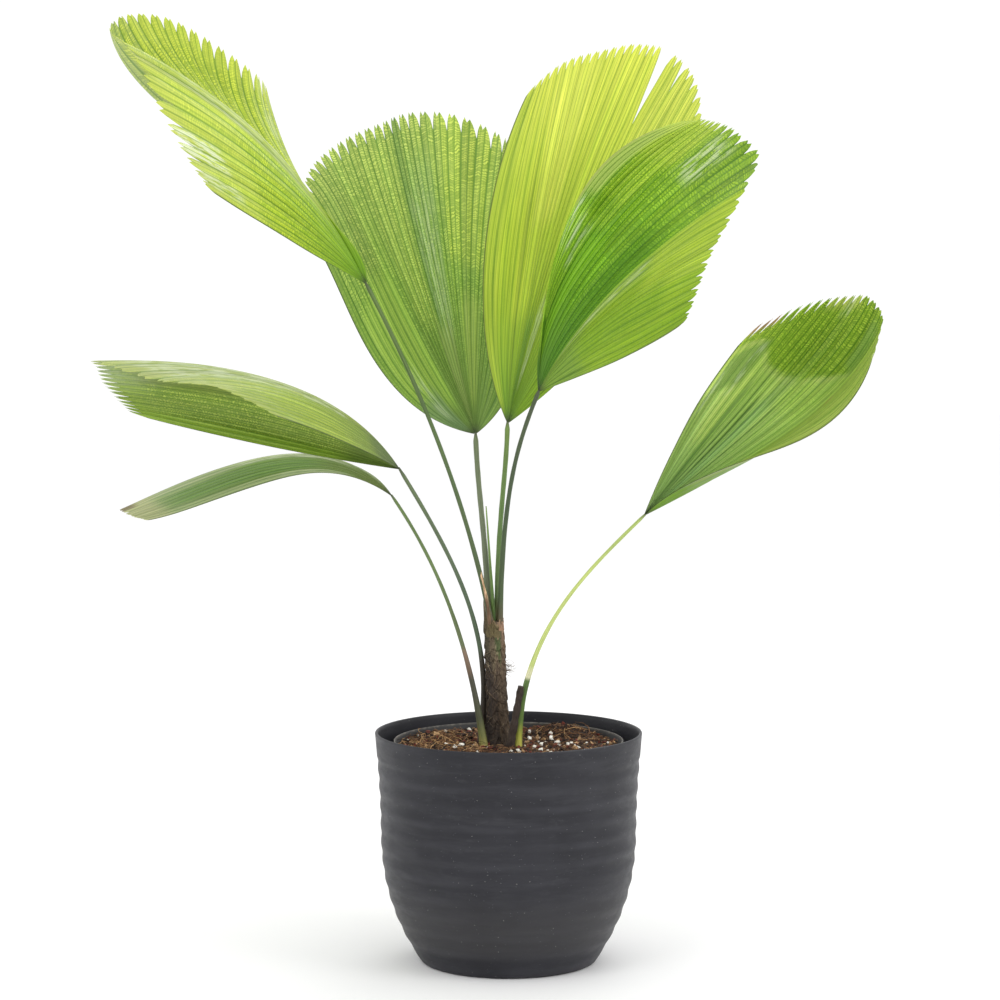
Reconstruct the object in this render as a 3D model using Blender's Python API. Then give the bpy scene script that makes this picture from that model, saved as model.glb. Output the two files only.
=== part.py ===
"""Potted ruffled fan palm in a ribbed planter, at real size in metres.

The origin is the centre of the planter's flat underside.
+X is to the right, +Y to the back, +Z up.
"""
import math
from collections import namedtuple

import bmesh
import bpy
import numpy as np
from mathutils import Vector

MM = 0.001
# Clear space left between pieces that touch on the real plant
SEAT_GAP = 0.3 * MM

# Planter: the ribbed outer pot
POT_HEIGHT = 216 * MM
POT_FOOT_RADIUS = 82 * MM
POT_BELLY_RADIUS = 120 * MM
POT_BELLY_HEIGHT = 130 * MM
POT_BELLY_POWER = 2.4
POT_RIM_FLARE = 5 * MM
POT_WALL = 3 * MM
POT_FLOOR = 4 * MM
POT_SIDES = 48
RIB_COUNT = 10
RIB_PITCH = 17.3 * MM
RIB_TOP = 190 * MM
RIB_DEPTH = 1.3 * MM

# Grower pot: the thin liner that holds the soil
LINER_BOTTOM_RADIUS = 78 * MM
LINER_RIM_RADIUS = 107.5 * MM
LINER_TOP = 208 * MM
LINER_WALL = 1.6 * MM
LINER_FLOOR = 2 * MM
LINER_SIDES = 40

# Soil, level round the plant's foot and lumpy towards the liner
SOIL_LEVEL = 202.5 * MM
SOIL_RINGS = 7
SOIL_LEVEL_RADIUS = 34 * MM
SOIL_EDGE_DROP = 3 * MM
Lump = namedtuple("Lump", "x y radius height")
SOIL_LUMPS = (
    Lump(48 * MM, 62 * MM, 26 * MM, 10 * MM),
    Lump(-52 * MM, 40 * MM, 30 * MM, 6 * MM),
    Lump(-60 * MM, -38 * MM, 28 * MM, 5 * MM),
    Lump(52 * MM, -50 * MM, 26 * MM, 4 * MM),
)

# Trunk: a short fibrous stem that leans a little to the left
TRUNK_FOOT = Vector((-9.8 * MM, 10 * MM, SOIL_LEVEL + SEAT_GAP))
TRUNK_TOP = Vector((-13.8 * MM, 10 * MM, 318.5 * MM))
TRUNK_FLARE_RADIUS = 12.4 * MM
TRUNK_FOOT_RADIUS = 10.5 * MM
TRUNK_TOP_RADIUS = 9.4 * MM
TRUNK_FLARE_HEIGHT = 14 * MM
TRUNK_SCARS = 9
TRUNK_SCAR_DEPTH = 0.5 * MM
TRUNK_SIDES = 16
TRUNK_RINGS = 19

# Leaf stalks
STALK_SIDES = 8
STALK_RINGS = 18
STALK_NOSE = 8 * MM
STALK_NOSE_RADIUS = 1.0 * MM
STALK_REACH = 2.0 * MM
# A stalk is thicker at its foot by this share, which fades up the stalk
STALK_FLARE = 0.25
STALK_FLARE_FADE = 9.0
# How quickly a leaf stalk thins above its foot
STALK_TAPER = 3.0

# Fan blades
BLADE_THICKNESS_SHARE = 0.0105
BLADE_HUB_SHARE = 0.35
BLADE_THICK_FROM = 0.30
HUB_RING = 2.6 * MM
TOOTH_DEPTH = 0.055
PLEAT_HEIGHT = 1.6 * MM
PLEAT_FROM = 0.15
BLADE_ROWS = (0.0, 0.12, 0.28, 0.46, 0.64, 0.82, 1.0)
NORMAL_STEP = 0.004

# A guide rib of a fan: its place across the fan from 0 to 1, and the middle and
# the tip of the rib as offsets from the fan's hub in millimetres. A hook bends it
# out in its outer half and in by as much in its inner half. The blade is folded
# sharply along a rib with a crease.
Rib = namedtuple("Rib", "at mid tip hook crease", defaults=((0, 0, 0), False))
# A frond: the stalk's foot and the way it starts, the hub where the fan opens and
# the way the stalk arrives there, the stalk's two radii, and the fan. Millimetres.
Frond = namedtuple("Frond", "foot start hub arrive radii segments ribs")

CROWN_Z = TRUNK_TOP.z / MM + 0.3
FOOT_Z = SOIL_LEVEL / MM + 0.3

FRONDS = {
    "upper_left": Frond(
        foot=(-16.5, 3, CROWN_Z), start=(-23, -16, 117),
        hub=(-129.5, -50, 634), arrive=(-48, -10, 92), radii=(2.3, 1.9), segments=26,
        ribs=(
            Rib(0.00, (-66, -95, 42), (-125, -200, 84), (-4, 16, -1)),
            Rib(0.10, (-70, -98, 64), (-142, -200, 109), (6, 11, 1)),
            Rib(0.20, (-76, -98, 89), (-165, -190, 147), (1, 16, 14)),
            Rib(0.27, (-84, -90, 115), (-184, -178, 187), (2, 37, 18)),
            Rib(0.34, (-91, -72, 133), (-201, -160, 209), (-1, 91, 21), True),
            Rib(0.42, (-103, -28, 105), (-220, -85, 227), (220, 24, 26)),
            Rib(0.47, (-106, -12, 114), (-216, -62, 236), (152, -5, 37)),
            Rib(0.53, (-106, 0, 125), (-206, -35, 241), (101, -8, 47)),
            Rib(0.61, (-101, 10, 130), (-186, 0, 242), (90, 0, 59)),
            Rib(0.71, (-95, 22, 126), (-158, 28, 231), (81, -11, 78)),
            Rib(0.81, (-81, 32, 113), (-129, 60, 212), (72, -16, 77)),
            Rib(0.90, (-65, 42, 98), (-105, 92, 194), (42, -11, 34)),
            Rib(1.00, (-58, 52, 87), (-98, 122, 181), (2, -11, 23)),
        )),
    "back": Frond(
        foot=(-18.5, 13.5, CROWN_Z), start=(-3, 9, 88),
        hub=(-31, 50, 491), arrive=(-2, 14, 59), radii=(3.0, 2.5), segments=28,
        ribs=(
            Rib(0.00, (-103, -8, 84), (-166, 20, 205), (-66, 0, -66)),
            Rib(0.16, (-90, 15, 125), (-159, 55, 250), (-28, -13, -125)),
            Rib(0.30, (-73, 33, 138), (-132, 80, 277)),
            Rib(0.45, (-53, 46, 144), (-95, 98, 295)),
            Rib(0.60, (-33, 52, 150), (-59, 110, 307)),
            Rib(0.70, (-16, 50, 148), (-20, 108, 304)),
            Rib(0.80, (6, 44, 140), (21, 98, 286)),
            Rib(0.90, (23, 35, 126), (42, 82, 266)),
            Rib(1.00, (49, 20, 88), (60, 50, 230), (18, -11, -8)),
        )),
    "top": Frond(
        foot=(-10.5, 15, CROWN_Z), start=(0, 0, 100),
        hub=(-1, 0, 504), arrive=(1, -6, 56), radii=(2.6, 2.3), segments=28,
        ribs=(
            Rib(0.00, (-21, -30, 157), (20, -10, 307), (-17, 0, -49)),
            Rib(0.15, (18, -5, 167), (50, 20, 333)),
            Rib(0.32, (37, 15, 174), (87, 42, 346)),
            Rib(0.48, (54, 26, 178), (124, 56, 353)),
            Rib(0.62, (73, 32, 178), (154, 66, 346)),
            Rib(0.80, (92, 38, 150), (182, 76, 305)),
            Rib(1.00, (92, 42, 84), (173, 80, 194), (40, 0, 20)),
        )),
    "upper_right": Frond(
        foot=(-8, 6, CROWN_Z), start=(3, -4, 130),
        hub=(27, -50, 536), arrive=(19, -24, 50), radii=(2.4, 2.0), segments=28,
        ribs=(
            Rib(0.00, (32, 18, 143), (137, 40, 242), (29, 0, -63)),
            Rib(0.08, (25, -4, 153), (134, 14, 246), (41, 5, -53), True),
            Rib(0.20, (32, -4, 148), (143, 6, 246), (2, 5, -39)),
            Rib(0.36, (45, 8, 138), (156, -18, 245), (-51, -48, -24)),
            Rib(0.52, (62, -14, 125), (177, -74, 231), (-53, -48, -17)),
            Rib(0.61, (72, -44, 113), (191, -112, 208), (-15, 11, -1)),
            Rib(0.667, (79, -72, 107), (177, -140, 181), (-24, 53, -8), True),
            Rib(0.76, (72, -76, 86), (156, -148, 143), (-29, 43, -1)),
            Rib(0.84, (65, -80, 70), (143, -156, 116), (-15, 43, 0)),
            Rib(0.92, (64, -82, 50), (134, -164, 92), (-10, 43, 4)),
            Rib(1.00, (67, -82, 31), (124, -172, 70), (10, 43, 9)),
        )),
    "lower_right": Frond(
        foot=(8.5, -9, FOOT_Z), start=(7, -4, 101),
        hub=(124.5, -30, 421), arrive=(58, -8, 58), radii=(3.6, 1.6), segments=20,
        ribs=(
            Rib(0.00, (39, -60, 95), (92, -110, 175), (10, 0, 2)),
            Rib(0.16, (64, -20, 108), (123, -50, 187)),
            Rib(0.32, (90, 25, 108), (162, 20, 198), (1, -11, 3)),
            Rib(0.48, (114, 50, 106), (191, 60, 201), (1, -32, 8)),
            Rib(0.64, (134, 52, 100), (213, 65, 200), (-7, -29, 8)),
            Rib(0.77, (141, 30, 86), (221, 25, 184), (-28, -19, 15)),
            Rib(0.88, (125, -14, 72), (210, -40, 166), (-35, 43, 10)),
            Rib(1.00, (110, -55, 62), (194, -118, 149), (-66, 27, 102)),
        )),
    "left": Frond(
        foot=(-26, 20, FOOT_Z), start=(12, -1, 99),
        hub=(-100.5, -20, 463), arrive=(-61, -8, 101), radii=(3.2, 1.9), segments=26,
        ribs=(
            Rib(0.00, (-53, -92, 35), (-102, -215, 64), (6, -13, 2)),
            Rib(0.18, (-76, -95, 57), (-153, -212, 87), (12, 5, 4)),
            Rib(0.34, (-99, -84, 77), (-206, -190, 91), (31, 5, 12)),
            Rib(0.46, (-122, -58, 88), (-265, -132, 105), (52, 0, 30)),
            Rib(0.56, (-122, -20, 75), (-271, -62, 96), (42, 5, 19)),
            Rib(0.70, (-126, 28, 57), (-279, 38, 79), (46, -27, 19)),
            Rib(0.85, (-127, 48, 37), (-270, 80, 60), (46, -16, -1)),
            Rib(1.00, (-127, 42, 19), (-259, 90, 47)),
        )),
    "low_left": Frond(
        foot=(-23, -3.5, FOOT_Z), start=(-14, 4, 98),
        hub=(-110, 60, 431), arrive=(-45, 24, 62), radii=(3.4, 1.6), segments=20,
        ribs=(
            Rib(0.00, (-117, 0, 15), (-235, 0, -22), (-4, 0, 91)),
            Rib(0.25, (-123, 18, 26), (-252, 20, -20), (11, -11, 81)),
            Rib(0.50, (-128, 40, 35), (-266, 50, -17), (36, -27, 82), True),
            Rib(0.75, (-113, 85, 20), (-245, 130, -25), (67, -53, 99)),
            Rib(1.00, (-96, 100, 14), (-211, 190, -24), (58, -27, 56)),
        )),
}

# Small pieces at the crown and the foot: foot and head in millimetres
SPEAR_FOOT = (-13.5, 9.5, CROWN_Z)
SPEAR_HEAD = (-21, 14, 426)
SPEAR_RADII = (1.8, 0.5)
STUB_FOOT = (0.5, -13, FOOT_Z)
STUB_HEAD = (9.5, -19, 258)
STUB_RADII = (3.8, 3.0)
OLD_SHEATH_FOOT = (-21.8, 8, CROWN_Z)
OLD_SHEATH_HEAD = (-26.5, 3, 381)
OLD_SHEATH_RADII = (1.6, 0.8)

# Linear colour, roughness and metallic value of each material
FINISHES = {
    "pot_plastic": ((0.045, 0.045, 0.052), 0.55, 0.0),
    "liner_plastic": ((0.030, 0.030, 0.032), 0.50, 0.0),
    "potting_mix": ((0.110, 0.062, 0.036), 0.95, 0.0),
    "trunk_fibre": ((0.098, 0.070, 0.048), 0.90, 0.0),
    "stalk_green": ((0.130, 0.170, 0.060), 0.50, 0.0),
    "stalk_pale": ((0.300, 0.380, 0.110), 0.50, 0.0),
    "blade_lime": ((0.440, 0.600, 0.090), 0.45, 0.0),
    "blade_green": ((0.170, 0.330, 0.070), 0.42, 0.0),
    "blade_yellow": ((0.560, 0.650, 0.090), 0.45, 0.0),
    "blade_dull": ((0.150, 0.240, 0.070), 0.50, 0.0),
    "spear_green": ((0.160, 0.280, 0.070), 0.45, 0.0),
    "dead_sheath": ((0.160, 0.090, 0.050), 0.90, 0.0),
}
BLADE_FINISH = {
    "upper_left": "blade_lime",
    "back": "blade_green",
    "top": "blade_yellow",
    "upper_right": "blade_green",
    "lower_right": "blade_green",
    "left": "blade_green",
    "low_left": "blade_dull",
}
STALK_FINISH = {"lower_right": "stalk_pale"}


def clear_scene():
    for obj in list(bpy.data.objects):
        bpy.data.objects.remove(obj, do_unlink=True)


def make_material(name):
    """Principled material with one of the finishes listed above."""
    material = bpy.data.materials.get(name)
    if material:
        return material
    colour, roughness, metallic = FINISHES[name]
    material = bpy.data.materials.new(name)
    material.use_nodes = True
    shader = material.node_tree.nodes["Principled BSDF"]
    shader.inputs["Base Color"].default_value = (*colour, 1.0)
    shader.inputs["Roughness"].default_value = roughness
    shader.inputs["Metallic"].default_value = metallic
    return material


def add_object(name, verts, faces, finish, smooth=True):
    """Object from points and faces, with its faces turned outwards."""
    mesh = bpy.data.meshes.new(name)
    mesh.from_pydata([tuple(v) for v in verts], [], faces)
    bm = bmesh.new()
    bm.from_mesh(mesh)
    bmesh.ops.recalc_face_normals(bm, faces=bm.faces)
    bmesh.ops.triangulate(bm, faces=bm.faces)
    bm.to_mesh(mesh)
    bm.free()
    mesh.materials.append(make_material(finish))
    if smooth:
        mesh.shade_smooth()
        mesh.set_sharp_from_angle(angle=math.radians(40))
    obj = bpy.data.objects.new(name, mesh)
    bpy.context.scene.collection.objects.link(obj)
    return obj


def turned(profile, sides, surface=None):
    """Points and faces of a closed profile turned round the Z axis.

    The profile runs from the axis out and back to the axis. A surface function
    may change the height of a point from its x, y and profile height.
    """
    verts = []
    rings = []
    for radius, z in profile:
        if radius == 0:
            rings.append([len(verts)])
            verts.append((0.0, 0.0, surface(0.0, 0.0, z) if surface else z))
            continue
        ring = []
        for k in range(sides):
            angle = 2 * math.pi * k / sides
            x = radius * math.cos(angle)
            y = radius * math.sin(angle)
            ring.append(len(verts))
            verts.append((x, y, surface(x, y, z) if surface else z))
        rings.append(ring)
    faces = []
    for low, high in zip(rings, rings[1:]):
        for k in range(sides):
            n = (k + 1) % sides
            if len(low) == 1:
                faces.append((low[0], high[k], high[n]))
            elif len(high) == 1:
                faces.append((low[k], low[n], high[0]))
            else:
                faces.append((low[k], low[n], high[n], high[k]))
    return verts, faces


def pot_radius(z):
    """Outer radius of the planter at a height, without its ribs."""
    if z < POT_BELLY_HEIGHT:
        left = 1 - z / POT_BELLY_HEIGHT
        swell = 1 - left ** POT_BELLY_POWER
        return POT_FOOT_RADIUS + (POT_BELLY_RADIUS - POT_FOOT_RADIUS) * swell
    share = (z - POT_BELLY_HEIGHT) / (POT_HEIGHT - POT_BELLY_HEIGHT)
    return POT_BELLY_RADIUS + POT_RIM_FLARE * share ** 1.5


def make_pot():
    """Ribbed planter with a rounded foot, a plain collar and a hollow inside."""
    outer = [(0.0, 0.0), (POT_FOOT_RADIUS, 0.0)]
    for z in (3 * MM, 8 * MM):
        outer.append((pot_radius(z), z))
    groove = RIB_TOP - RIB_COUNT * RIB_PITCH
    for rib in range(RIB_COUNT):
        low = groove + rib * RIB_PITCH
        high = low + RIB_PITCH / 2
        outer.append((pot_radius(low) - RIB_DEPTH, low))
        outer.append((pot_radius(high), high))
    outer.append((pot_radius(RIB_TOP) - RIB_DEPTH, RIB_TOP))
    outer.append((pot_radius(RIB_TOP + 5 * MM), RIB_TOP + 5 * MM))
    outer.append((pot_radius(POT_HEIGHT) - 0.6 * MM, POT_HEIGHT - 1.0 * MM))
    outer.append((pot_radius(POT_HEIGHT) - 1.4 * MM, POT_HEIGHT))
    inner = [(pot_radius(POT_HEIGHT) - POT_WALL, POT_HEIGHT - 0.8 * MM)]
    for z in (170 * MM, 130 * MM, 100 * MM, 70 * MM, 42 * MM, 22 * MM, 11 * MM):
        inner.append((pot_radius(z) - RIB_DEPTH - POT_WALL, z))
    inner.append((pot_radius(POT_FLOOR) - RIB_DEPTH - POT_WALL, POT_FLOOR))
    inner.append((0.0, POT_FLOOR))
    verts, faces = turned(outer + inner, POT_SIDES)
    return add_object("outer_pot", verts, faces, "pot_plastic")


LINER_BASE = POT_FLOOR + SEAT_GAP
SOIL_BASE = LINER_BASE + LINER_FLOOR + SEAT_GAP


def liner_radius(z):
    share = (z - LINER_BASE) / (LINER_TOP - LINER_BASE)
    return LINER_BOTTOM_RADIUS + (LINER_RIM_RADIUS - LINER_BOTTOM_RADIUS) * share


def make_liner():
    """Thin straight-sided grower pot that stands inside the planter."""
    floor_top = LINER_BASE + LINER_FLOOR
    profile = [(0.0, LINER_BASE), (LINER_BOTTOM_RADIUS, LINER_BASE)]
    profile.append((liner_radius(LINER_TOP), LINER_TOP))
    profile.append((liner_radius(LINER_TOP) - LINER_WALL, LINER_TOP))
    profile.append((liner_radius(floor_top) - LINER_WALL, floor_top))
    profile.append((0.0, floor_top))
    verts, faces = turned(profile, LINER_SIDES)
    return add_object("grower_pot", verts, faces, "liner_plastic")


def soil_height(x, y):
    """Height of the soil's top: level at the plant's foot, lumpy further out."""
    reach = math.hypot(x - TRUNK_FOOT.x, y - TRUNK_FOOT.y)
    blend = min(max((reach - SOIL_LEVEL_RADIUS) / SOIL_LEVEL_RADIUS, 0.0), 1.0)
    lift = -SOIL_EDGE_DROP
    for lump in SOIL_LUMPS:
        away = math.hypot(x - lump.x, y - lump.y) / lump.radius
        lift += lump.height * math.exp(-away * away)
    return SOIL_LEVEL + lift * blend


def make_soil():
    side_gap = LINER_WALL + SEAT_GAP
    side_top = SOIL_LEVEL - SOIL_EDGE_DROP
    profile = [(0.0, SOIL_BASE), (liner_radius(SOIL_BASE) - side_gap, SOIL_BASE)]
    rim = liner_radius(side_top) - side_gap
    for ring in range(SOIL_RINGS, -1, -1):
        profile.append((rim * ring / SOIL_RINGS, SOIL_LEVEL))

    def surface(x, y, z):
        return soil_height(x, y) if z == SOIL_LEVEL else z

    verts, faces = turned(profile, LINER_SIDES, surface)
    return add_object("potting_soil", verts, faces, "potting_mix")


def make_trunk():
    """Short leaning stem with a flared foot, leaf scars and flat ends."""
    verts = []
    axis = TRUNK_TOP - TRUNK_FOOT
    for ring in range(TRUNK_RINGS):
        share = ring / (TRUNK_RINGS - 1)
        rise = share * axis.z
        radius = TRUNK_FOOT_RADIUS + (TRUNK_TOP_RADIUS - TRUNK_FOOT_RADIUS) * share
        radius += (TRUNK_FLARE_RADIUS - TRUNK_FOOT_RADIUS) * math.exp(-rise / TRUNK_FLARE_HEIGHT)
        radius += TRUNK_SCAR_DEPTH * math.sin(2 * math.pi * TRUNK_SCARS * share)
        centre = TRUNK_FOOT + axis * share
        for k in range(TRUNK_SIDES):
            angle = 2 * math.pi * k / TRUNK_SIDES
            lobe = 1 + 0.035 * math.sin(3 * angle + 5 * share)
            x = centre.x + radius * lobe * math.cos(angle)
            y = centre.y + radius * lobe * math.sin(angle)
            verts.append((x, y, centre.z))
    faces = tube_faces(TRUNK_RINGS, TRUNK_SIDES)
    return add_object("trunk", verts, faces, "trunk_fibre")


def tube_faces(rings, sides):
    """Side faces and two end caps of a tube of stacked rings."""
    faces = [tuple(range(sides))]
    faces.append(tuple((rings - 1) * sides + k for k in range(sides)))
    for ring in range(rings - 1):
        for k in range(sides):
            n = (k + 1) % sides
            low = ring * sides
            high = low + sides
            faces.append((low + k, low + n, high + n, high + k))
    return faces


def bezier(points, t):
    a, b, c, d = points
    s = 1 - t
    return a * s ** 3 + b * 3 * s * s * t + c * 3 * s * t * t + d * t ** 3


def make_stalk(name, path, radii, finish, rings=STALK_RINGS, flat_foot=True, nose=True):
    """Round tapering stalk along a Bezier path, cut flat and level at its foot."""
    verts = []
    length = sum((path[i + 1] - path[i]).length for i in range(3))
    nose_from = 1 - STALK_NOSE / length
    stops = [k / (rings - 2) * (nose_from if nose else 1.0) for k in range(rings - 1)]
    stops.append(1.0)
    if not nose:
        stops.pop()
    for t in stops:
        centre = bezier(path, t)
        ahead = bezier(path, t + 0.001)
        behind = bezier(path, t - 0.001)
        along = (ahead - behind).normalized()
        if t == 0 and flat_foot:
            along = Vector((0, 0, 1))
        side = along.cross(Vector((0, 1, 0))).normalized()
        front = side.cross(along).normalized()
        radius = radii[1] + (radii[0] - radii[1]) * (1 - t) ** (STALK_TAPER if nose else 1)
        if nose:
            radius *= 1 + STALK_FLARE * math.exp(-STALK_FLARE_FADE * t)
        if nose and t == 1.0:
            radius = STALK_NOSE_RADIUS
        for k in range(STALK_SIDES):
            angle = 2 * math.pi * (k + 0.5) / STALK_SIDES
            verts.append(centre + radius * (side * math.cos(angle) + front * math.sin(angle)))
    return add_object(name, verts, tube_faces(len(stops), STALK_SIDES), finish)


def frond_stalk(name, frond):
    """Leaf stalk from the trunk or the soil to just inside the fan's hub."""
    foot = Vector(frond.foot) * MM
    arrive = Vector(frond.arrive) * MM
    head = Vector(frond.hub) * MM + arrive.normalized() * STALK_REACH
    path = (foot, foot + Vector(frond.start) * MM, head - arrive, head)
    radii = (frond.radii[0] * MM, frond.radii[1] * MM)
    finish = STALK_FINISH.get(name, "stalk_green")
    return make_stalk("stalk_" + name, path, radii, finish)


def straight_path(foot, head):
    foot = Vector(foot) * MM
    head = Vector(head) * MM
    return (foot, foot.lerp(head, 1 / 3), foot.lerp(head, 2 / 3), head)


def make_small_pieces():
    """The unopened spear, the cut stub and the dried sheath at the crown."""
    pieces = (
        ("spear_leaf", SPEAR_FOOT, SPEAR_HEAD, SPEAR_RADII, "spear_green"),
        ("old_stub", STUB_FOOT, STUB_HEAD, STUB_RADII, "trunk_fibre"),
        ("old_sheath", OLD_SHEATH_FOOT, OLD_SHEATH_HEAD, OLD_SHEATH_RADII, "dead_sheath"),
    )
    for name, foot, head, radii, finish in pieces:
        radii = (radii[0] * MM, radii[1] * MM)
        make_stalk(name, straight_path(foot, head), radii, finish, rings=6, nose=False)


def smooth_through(knots, values, x, creases=()):
    """Smooth curve through values at uneven knots, with a corner at each crease."""
    knots = np.asarray(knots)
    values = np.asarray(values, dtype=float)
    slopes = np.gradient(values, knots, axis=0)
    leave = slopes[:-1].copy()
    reach = slopes[1:].copy()
    straight = np.diff(values, axis=0) / np.diff(knots)[:, None]
    for k in creases:
        reach[k - 1] = straight[k - 1]
        leave[k] = straight[k]
    x = np.clip(x, knots[0], knots[-1])
    cell = np.clip(np.searchsorted(knots, x, side="right") - 1, 0, len(knots) - 2)
    width = knots[cell + 1] - knots[cell]
    s = ((x - knots[cell]) / width)[..., None]
    width = width[..., None]
    blend = s * s * (3 - 2 * s)
    rise_low = s * (1 - s) ** 2
    rise_high = s * s * (s - 1)
    level = values[cell] * (1 - blend) + values[cell + 1] * blend
    return level + width * (leave[cell] * rise_low + reach[cell] * rise_high)


class Fan:
    """The smooth sheet of a blade, spanned by its guide ribs."""

    def __init__(self, frond):
        self.hub = np.array(frond.hub) * MM
        self.knots = [rib.at for rib in frond.ribs]
        self.mids = np.array([rib.mid for rib in frond.ribs]) * MM
        self.tips = np.array([rib.tip for rib in frond.ribs]) * MM
        self.hooks = np.array([rib.hook for rib in frond.ribs]) * MM
        self.creases = [k for k, rib in enumerate(frond.ribs) if rib.crease]
        self.length = max(np.linalg.norm(self.tips, axis=1))

    def point(self, u, t):
        """Point at share u across the fan and share t along its rib."""
        mid = smooth_through(self.knots, self.mids, u, self.creases)
        tip = smooth_through(self.knots, self.tips, u, self.creases)
        hook = smooth_through(self.knots, self.hooks, u, self.creases)
        t = t[..., None]
        bend = hook * t * (1 - t) * (1 - 2 * t)
        return self.hub + mid * 4 * t * (1 - t) + tip * t * (2 * t - 1) + bend

    def ring_share(self, u):
        """Share along each rib at which it leaves the hub ring."""
        step = np.full_like(u, 0.001)
        speed = np.linalg.norm(self.point(u, step) - self.hub, axis=-1) / 0.001
        return HUB_RING / speed

    def normal(self, u, t):
        """Unit normal of the sheet, from small steps across and along it."""
        across = self.point(np.minimum(u + NORMAL_STEP, 1), t)
        across = across - self.point(np.maximum(u - NORMAL_STEP, 0), t)
        along = self.point(u, t + NORMAL_STEP) - self.point(u, t - NORMAL_STEP)
        normal = np.cross(across, along)
        return normal / np.linalg.norm(normal, axis=-1, keepdims=True)


def blade_rows(fan, segments):
    """Rows of the pleated sheet: middle points and normals, hub to margin.

    Each segment of the fan is two strips that meet on its raised middle, and its
    end is one tooth. The two rows next to the hub have a quarter and half of the
    points, because the ribs run together there.
    """
    rows = []
    for row, share in enumerate(BLADE_ROWS):
        step = (4, 2)[row] if row < 2 else 1
        column = np.arange(0, 2 * segments + 1, step)
        u = column / (2 * segments)
        start = fan.ring_share(u)
        raised = column % 2 == 1
        end = np.where(raised, 1.0, 1.0 - TOOTH_DEPTH)
        t = start + (end - start) * share
        fade = np.clip((t - PLEAT_FROM) / (1 - PLEAT_FROM), 0, 1)
        pleat = np.where(raised, 0.5, -0.5) * PLEAT_HEIGHT * fade
        normal = fan.normal(u, t)
        thick = BLADE_HUB_SHARE + (1 - BLADE_HUB_SHARE) * np.clip(t / BLADE_THICK_FROM, 0, 1)
        half = 0.5 * BLADE_THICKNESS_SHARE * fan.length * thick
        middle = fan.point(u, t) + normal * pleat[:, None]
        rows.append((middle, normal * half[:, None]))
    return rows


def sheet_faces(starts, counts, flip):
    """Faces between rows, also where the next row has twice the points."""
    faces = []
    for row in range(len(starts) - 1):
        low, high = starts[row], starts[row + 1]
        for k in range(counts[row] - 1):
            if counts[row + 1] == counts[row]:
                faces.append((low + k, low + k + 1, high + k + 1, high + k))
            else:
                a, b, c = high + 2 * k, high + 2 * k + 1, high + 2 * k + 2
                faces.append((low + k, b, a))
                faces.append((low + k, low + k + 1, b))
                faces.append((low + k + 1, c, b))
    return [face[::-1] for face in faces] if flip else faces


def make_blade(name, frond):
    """Closed solid of one fan: two pleated skins joined round their edge."""
    fan = Fan(frond)
    rows = blade_rows(fan, frond.segments)
    counts = [len(middle) for middle, _ in rows]
    verts = []
    starts = {}
    for side in (1, -1):
        starts[side] = []
        for middle, half in rows:
            starts[side].append(len(verts))
            verts.extend(middle + side * half)
    faces = sheet_faces(starts[1], counts, False) + sheet_faces(starts[-1], counts, True)
    upper, lower = starts[1], starts[-1]
    for row in (0, len(rows) - 1):
        for k in range(counts[row] - 1):
            faces.append((upper[row] + k, upper[row] + k + 1, lower[row] + k + 1, lower[row] + k))
    for row in range(len(rows) - 1):
        for edge in (0, 1):
            here = edge * (counts[row] - 1)
            there = edge * (counts[row + 1] - 1)
            faces.append((upper[row] + here, upper[row + 1] + there,
                          lower[row + 1] + there, lower[row] + here))
    return add_object("blade_" + name, verts, faces, BLADE_FINISH[name])


def main():
    clear_scene()
    make_pot()
    make_liner()
    make_soil()
    make_trunk()
    make_small_pieces()
    for name, frond in FRONDS.items():
        frond_stalk(name, frond)
        make_blade(name, frond)


main()
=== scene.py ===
"""Looks of the potted ruffled fan palm, built round its fixed solids.

Lengths are in metres in the frame of the part: the origin is the centre of the
planter's underside, +X to the right, +Y to the back and +Z up.
"""

import math
from collections import namedtuple

import bmesh
import bpy
import numpy as np
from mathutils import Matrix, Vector, noise


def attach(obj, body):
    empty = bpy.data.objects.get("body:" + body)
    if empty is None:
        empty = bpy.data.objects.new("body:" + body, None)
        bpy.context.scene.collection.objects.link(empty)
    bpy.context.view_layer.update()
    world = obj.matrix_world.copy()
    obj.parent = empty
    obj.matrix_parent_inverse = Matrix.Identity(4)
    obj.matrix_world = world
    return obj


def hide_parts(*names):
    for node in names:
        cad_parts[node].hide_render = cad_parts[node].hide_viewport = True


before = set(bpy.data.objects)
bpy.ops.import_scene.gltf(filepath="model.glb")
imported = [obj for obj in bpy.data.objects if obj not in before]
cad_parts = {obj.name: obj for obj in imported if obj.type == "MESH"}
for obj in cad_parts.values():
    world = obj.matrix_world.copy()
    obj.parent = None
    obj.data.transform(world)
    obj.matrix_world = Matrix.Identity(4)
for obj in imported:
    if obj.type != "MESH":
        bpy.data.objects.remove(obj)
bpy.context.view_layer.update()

MM = 0.001
BODY = "root"

# Seeds of the random draws; those of the blades rise by one from blade to blade
SOIL_SEED = 7
STRAND_SEED = 11
WRAP_SEED = 23
BLADE_SEED = 100
PAINT_SEED = 200

# Camera: in front of the plant, a little above its crown's middle, looking slightly down
CAMERA_PLACE = (-0.008, -2.9, 0.68)
CAMERA_PITCH = math.radians(4.87)
CAMERA_LENS = 112.7
CAMERA_SENSOR = 36.0

# Planter
POT_HEIGHT = 216 * MM
POT_FOOT_RADIUS = 82 * MM
POT_BELLY_RADIUS = 120 * MM
POT_BELLY_HEIGHT = 130 * MM
POT_BELLY_POWER = 2.4
POT_RIM_FLARE = 5 * MM
POT_WALL = 3 * MM
POT_FLOOR = 4 * MM
RIB_COUNT = 10
RIB_PITCH = 17.3 * MM
RIB_TOP = 190 * MM
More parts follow.
